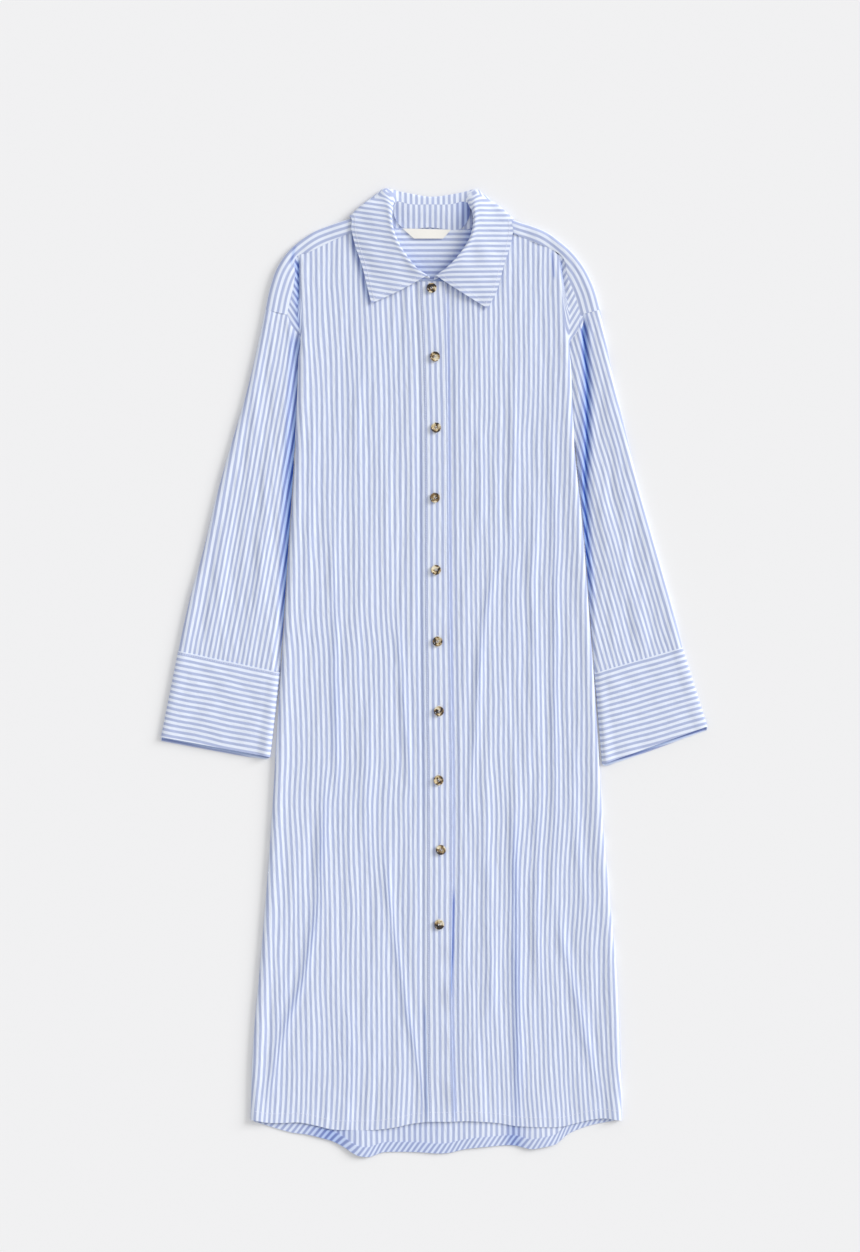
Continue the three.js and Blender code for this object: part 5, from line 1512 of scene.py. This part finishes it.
# %% Ten buttons
def copy_of(model, name, spot, turn):
    """A copy of a model with its own mesh, turned about Z and put in its place."""
    mesh = model.data.copy()
    mesh.name = name
    coordinates = np.array([vertex.co[:] for vertex in mesh.vertices])
    cosine, sine = math.cos(turn), math.sin(turn)
    turned = coordinates @ np.array([[cosine, sine, 0], [-sine, cosine, 0], [0, 0, 1]])
    mesh.vertices.foreach_set("co", (turned + np.array(spot) * MM).ravel())
    mesh.update()
    piece = bpy.data.objects.new(name, mesh)
    bpy.context.collection.objects.link(piece)
    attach(piece, "root")
    return piece


for number, (x, y) in enumerate(BUTTONS, start=1):
    name = f"button_{number:02d}"
    spot = (x, y, BUTTON_SIT)
    turn = math.radians(37 * number)
    piece = copy_of(button_model, name + "_turned", spot, turn)
    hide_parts(name)
    copy_of(thread_model, name + "_thread", spot, turn)
for model in (button_model, thread_model):
    bpy.data.objects.remove(model)
print("buttons:", len(BUTTONS))

# %% [markdown]
# ## Sewing
# Every seam and hem is topstitched. One stitch is modelled as a small pointed grain of
# thread, and copies of it are laid on the cloth's face, nose to tail, along lines at a fixed
# distance from an edge. All the stitches of one kind of piece are one mesh.

# %% Stitch lines
STITCH_LENGTH = 2.5
STITCH_RADIUS = 0.28


def inset_line(name, edge, distance):
    """Points on a piece's face at a distance from one of its edges, with the face's normals."""
    made = pieces_made[name + "_cloth"]
    face, normals = made["face"], made["normals"]
    if edge in ("left", "right"):
        face, normals = face.transpose(1, 0, 2), normals.transpose(1, 0, 2)
    if edge in ("top", "right"):
        face, normals = face[::-1], normals[::-1]
    lengths = lengths_along(face)
    spots, facing = [], []
    for column in range(face.shape[1]):
        place = np.interp(distance, lengths[:, column], np.arange(len(face)))
        k = min(int(place), len(face) - 2)
        spots.append(mix(face[k, column], face[k + 1, column], place - k))
        facing.append(normals[k, column])
    return np.array(spots), np.array(facing)


def stitches_along(spots, facing, pitch=3.1):
    """Centres, directions and normals of stitches laid along a line, or across it if they are close."""
    lengths = lengths_along(spots)
    centres = np.arange(pitch, lengths[-1] - pitch, pitch)
    if not len(centres):
        return np.zeros((0, 9))

    def at(values, distances):
        return np.column_stack([np.interp(distances, lengths, values[:, axis]) for axis in range(3)])

    middle = at(spots, centres)
    run = at(spots, centres + 1) - at(spots, centres - 1)
    run /= np.maximum(np.linalg.norm(run, axis=1, keepdims=True), 1e-9)
    if pitch < 1:
        run = run[:, [1, 0, 2]] * (-1, 1, 0)
    upwards = at(facing, centres)
    upwards *= np.sign(upwards[:, 2:]) + (upwards[:, 2:] == 0)
    upwards /= np.maximum(np.linalg.norm(upwards, axis=1, keepdims=True), 1e-9)
    return np.column_stack([middle, run, upwards])


def sew(name, lines, length=STITCH_LENGTH):
    """One mesh of stitches along several lines."""
    bpy.ops.object.select_all(action="DESELECT")
    bpy.ops.mesh.primitive_uv_sphere_add(segments=6, ring_count=4, radius=1, location=(0, 0, 0))
    model = bpy.context.object
    grain = np.array([vertex.co[:] for vertex in model.data.vertices])
    grain = grain[:, [2, 0, 1]] * (length / 2, STITCH_RADIUS, STITCH_RADIUS)
    faces = [list(polygon.vertices) for polygon in model.data.polygons]
    bpy.data.objects.remove(model)
    rows = np.concatenate([stitches_along(*line) for line in lines])
    middle, run, upwards = rows[:, :3], rows[:, 3:6], rows[:, 6:]
    sideways = np.cross(upwards, run)
    middle = middle + upwards * STITCH_RADIUS * 0.35
    vertices = (middle[:, None] + grain[None, :, :1] * run[:, None]
                + grain[None, :, 1:2] * sideways[:, None] + grain[None, :, 2:] * upwards[:, None])
    all_faces = [[v + n * len(grain) for v in face] for n in range(len(rows)) for face in faces]
    mesh = bpy.data.meshes.new(name)
    mesh.from_pydata((vertices.reshape(-1, 3) * MM).tolist(), [], all_faces)
    piece = bpy.data.objects.new(name, mesh)
    bpy.context.collection.objects.link(piece)
    piece.data.materials.append(thread)
    bpy.ops.object.select_all(action="DESELECT")
    piece.select_set(True)
    bpy.context.view_layer.objects.active = piece
    bpy.ops.object.shade_smooth()
    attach(piece, "root")
    print(name, "has", len(rows), "stitches")


for name, face in pieces_made.items():
    facing_up = face["normals"][..., 2].mean() > 0
    if not facing_up:
        face["face"] = face["net"] * 2 - face["face"]
        face["normals"] = -face["normals"]
print("faces ready to sew:", len(pieces_made))

# %% Sew the pieces
sew("stitches_body", [
    inset_line("front_right", "bottom", 12.0), inset_line("front_left", "bottom", 12.0),
    inset_line("back", "bottom", 12.0),
    inset_line("buttonhole_band", "left", 3.0), inset_line("buttonhole_band", "right", 3.0),
    inset_line("buttonhole_band", "bottom", 12.0),
])
sew("stitches_collar", [
    inset_line("collar", "top", 5.0), inset_line("collar", "left", 5.0),
    inset_line("collar", "right", 5.0),
])
sew("stitches_yoke", [inset_line("yoke", "top", 2.0)])
sew("stitches_sleeves", [
    inset_line("sleeve_right", "bottom", 3.0), inset_line("sleeve_left", "bottom", 3.0),
    inset_line("cuff_right", "bottom", 3.0), inset_line("cuff_left", "bottom", 3.0),
])

# %% Buttonholes
HOLE_LENGTH, HOLE_SIDE, HOLE_Z = 17.0, 0.75, 5.72
HOLE_PITCH, HOLE_STITCH = 0.5, 1.5
sides_of_holes = []
for x, y in BUTTONS[1:]:
    for sign in (-1, 1):
        ends = (-HOLE_LENGTH / 2, HOLE_LENGTH / 2)
        line = np.array([point(x + sign * HOLE_SIDE, y + end, HOLE_Z) for end in ends])
        sides_of_holes.append((line, np.array([point(0, 0, 1)] * 2), HOLE_PITCH))
sew("stitches_buttonholes", sides_of_holes, length=HOLE_STITCH)
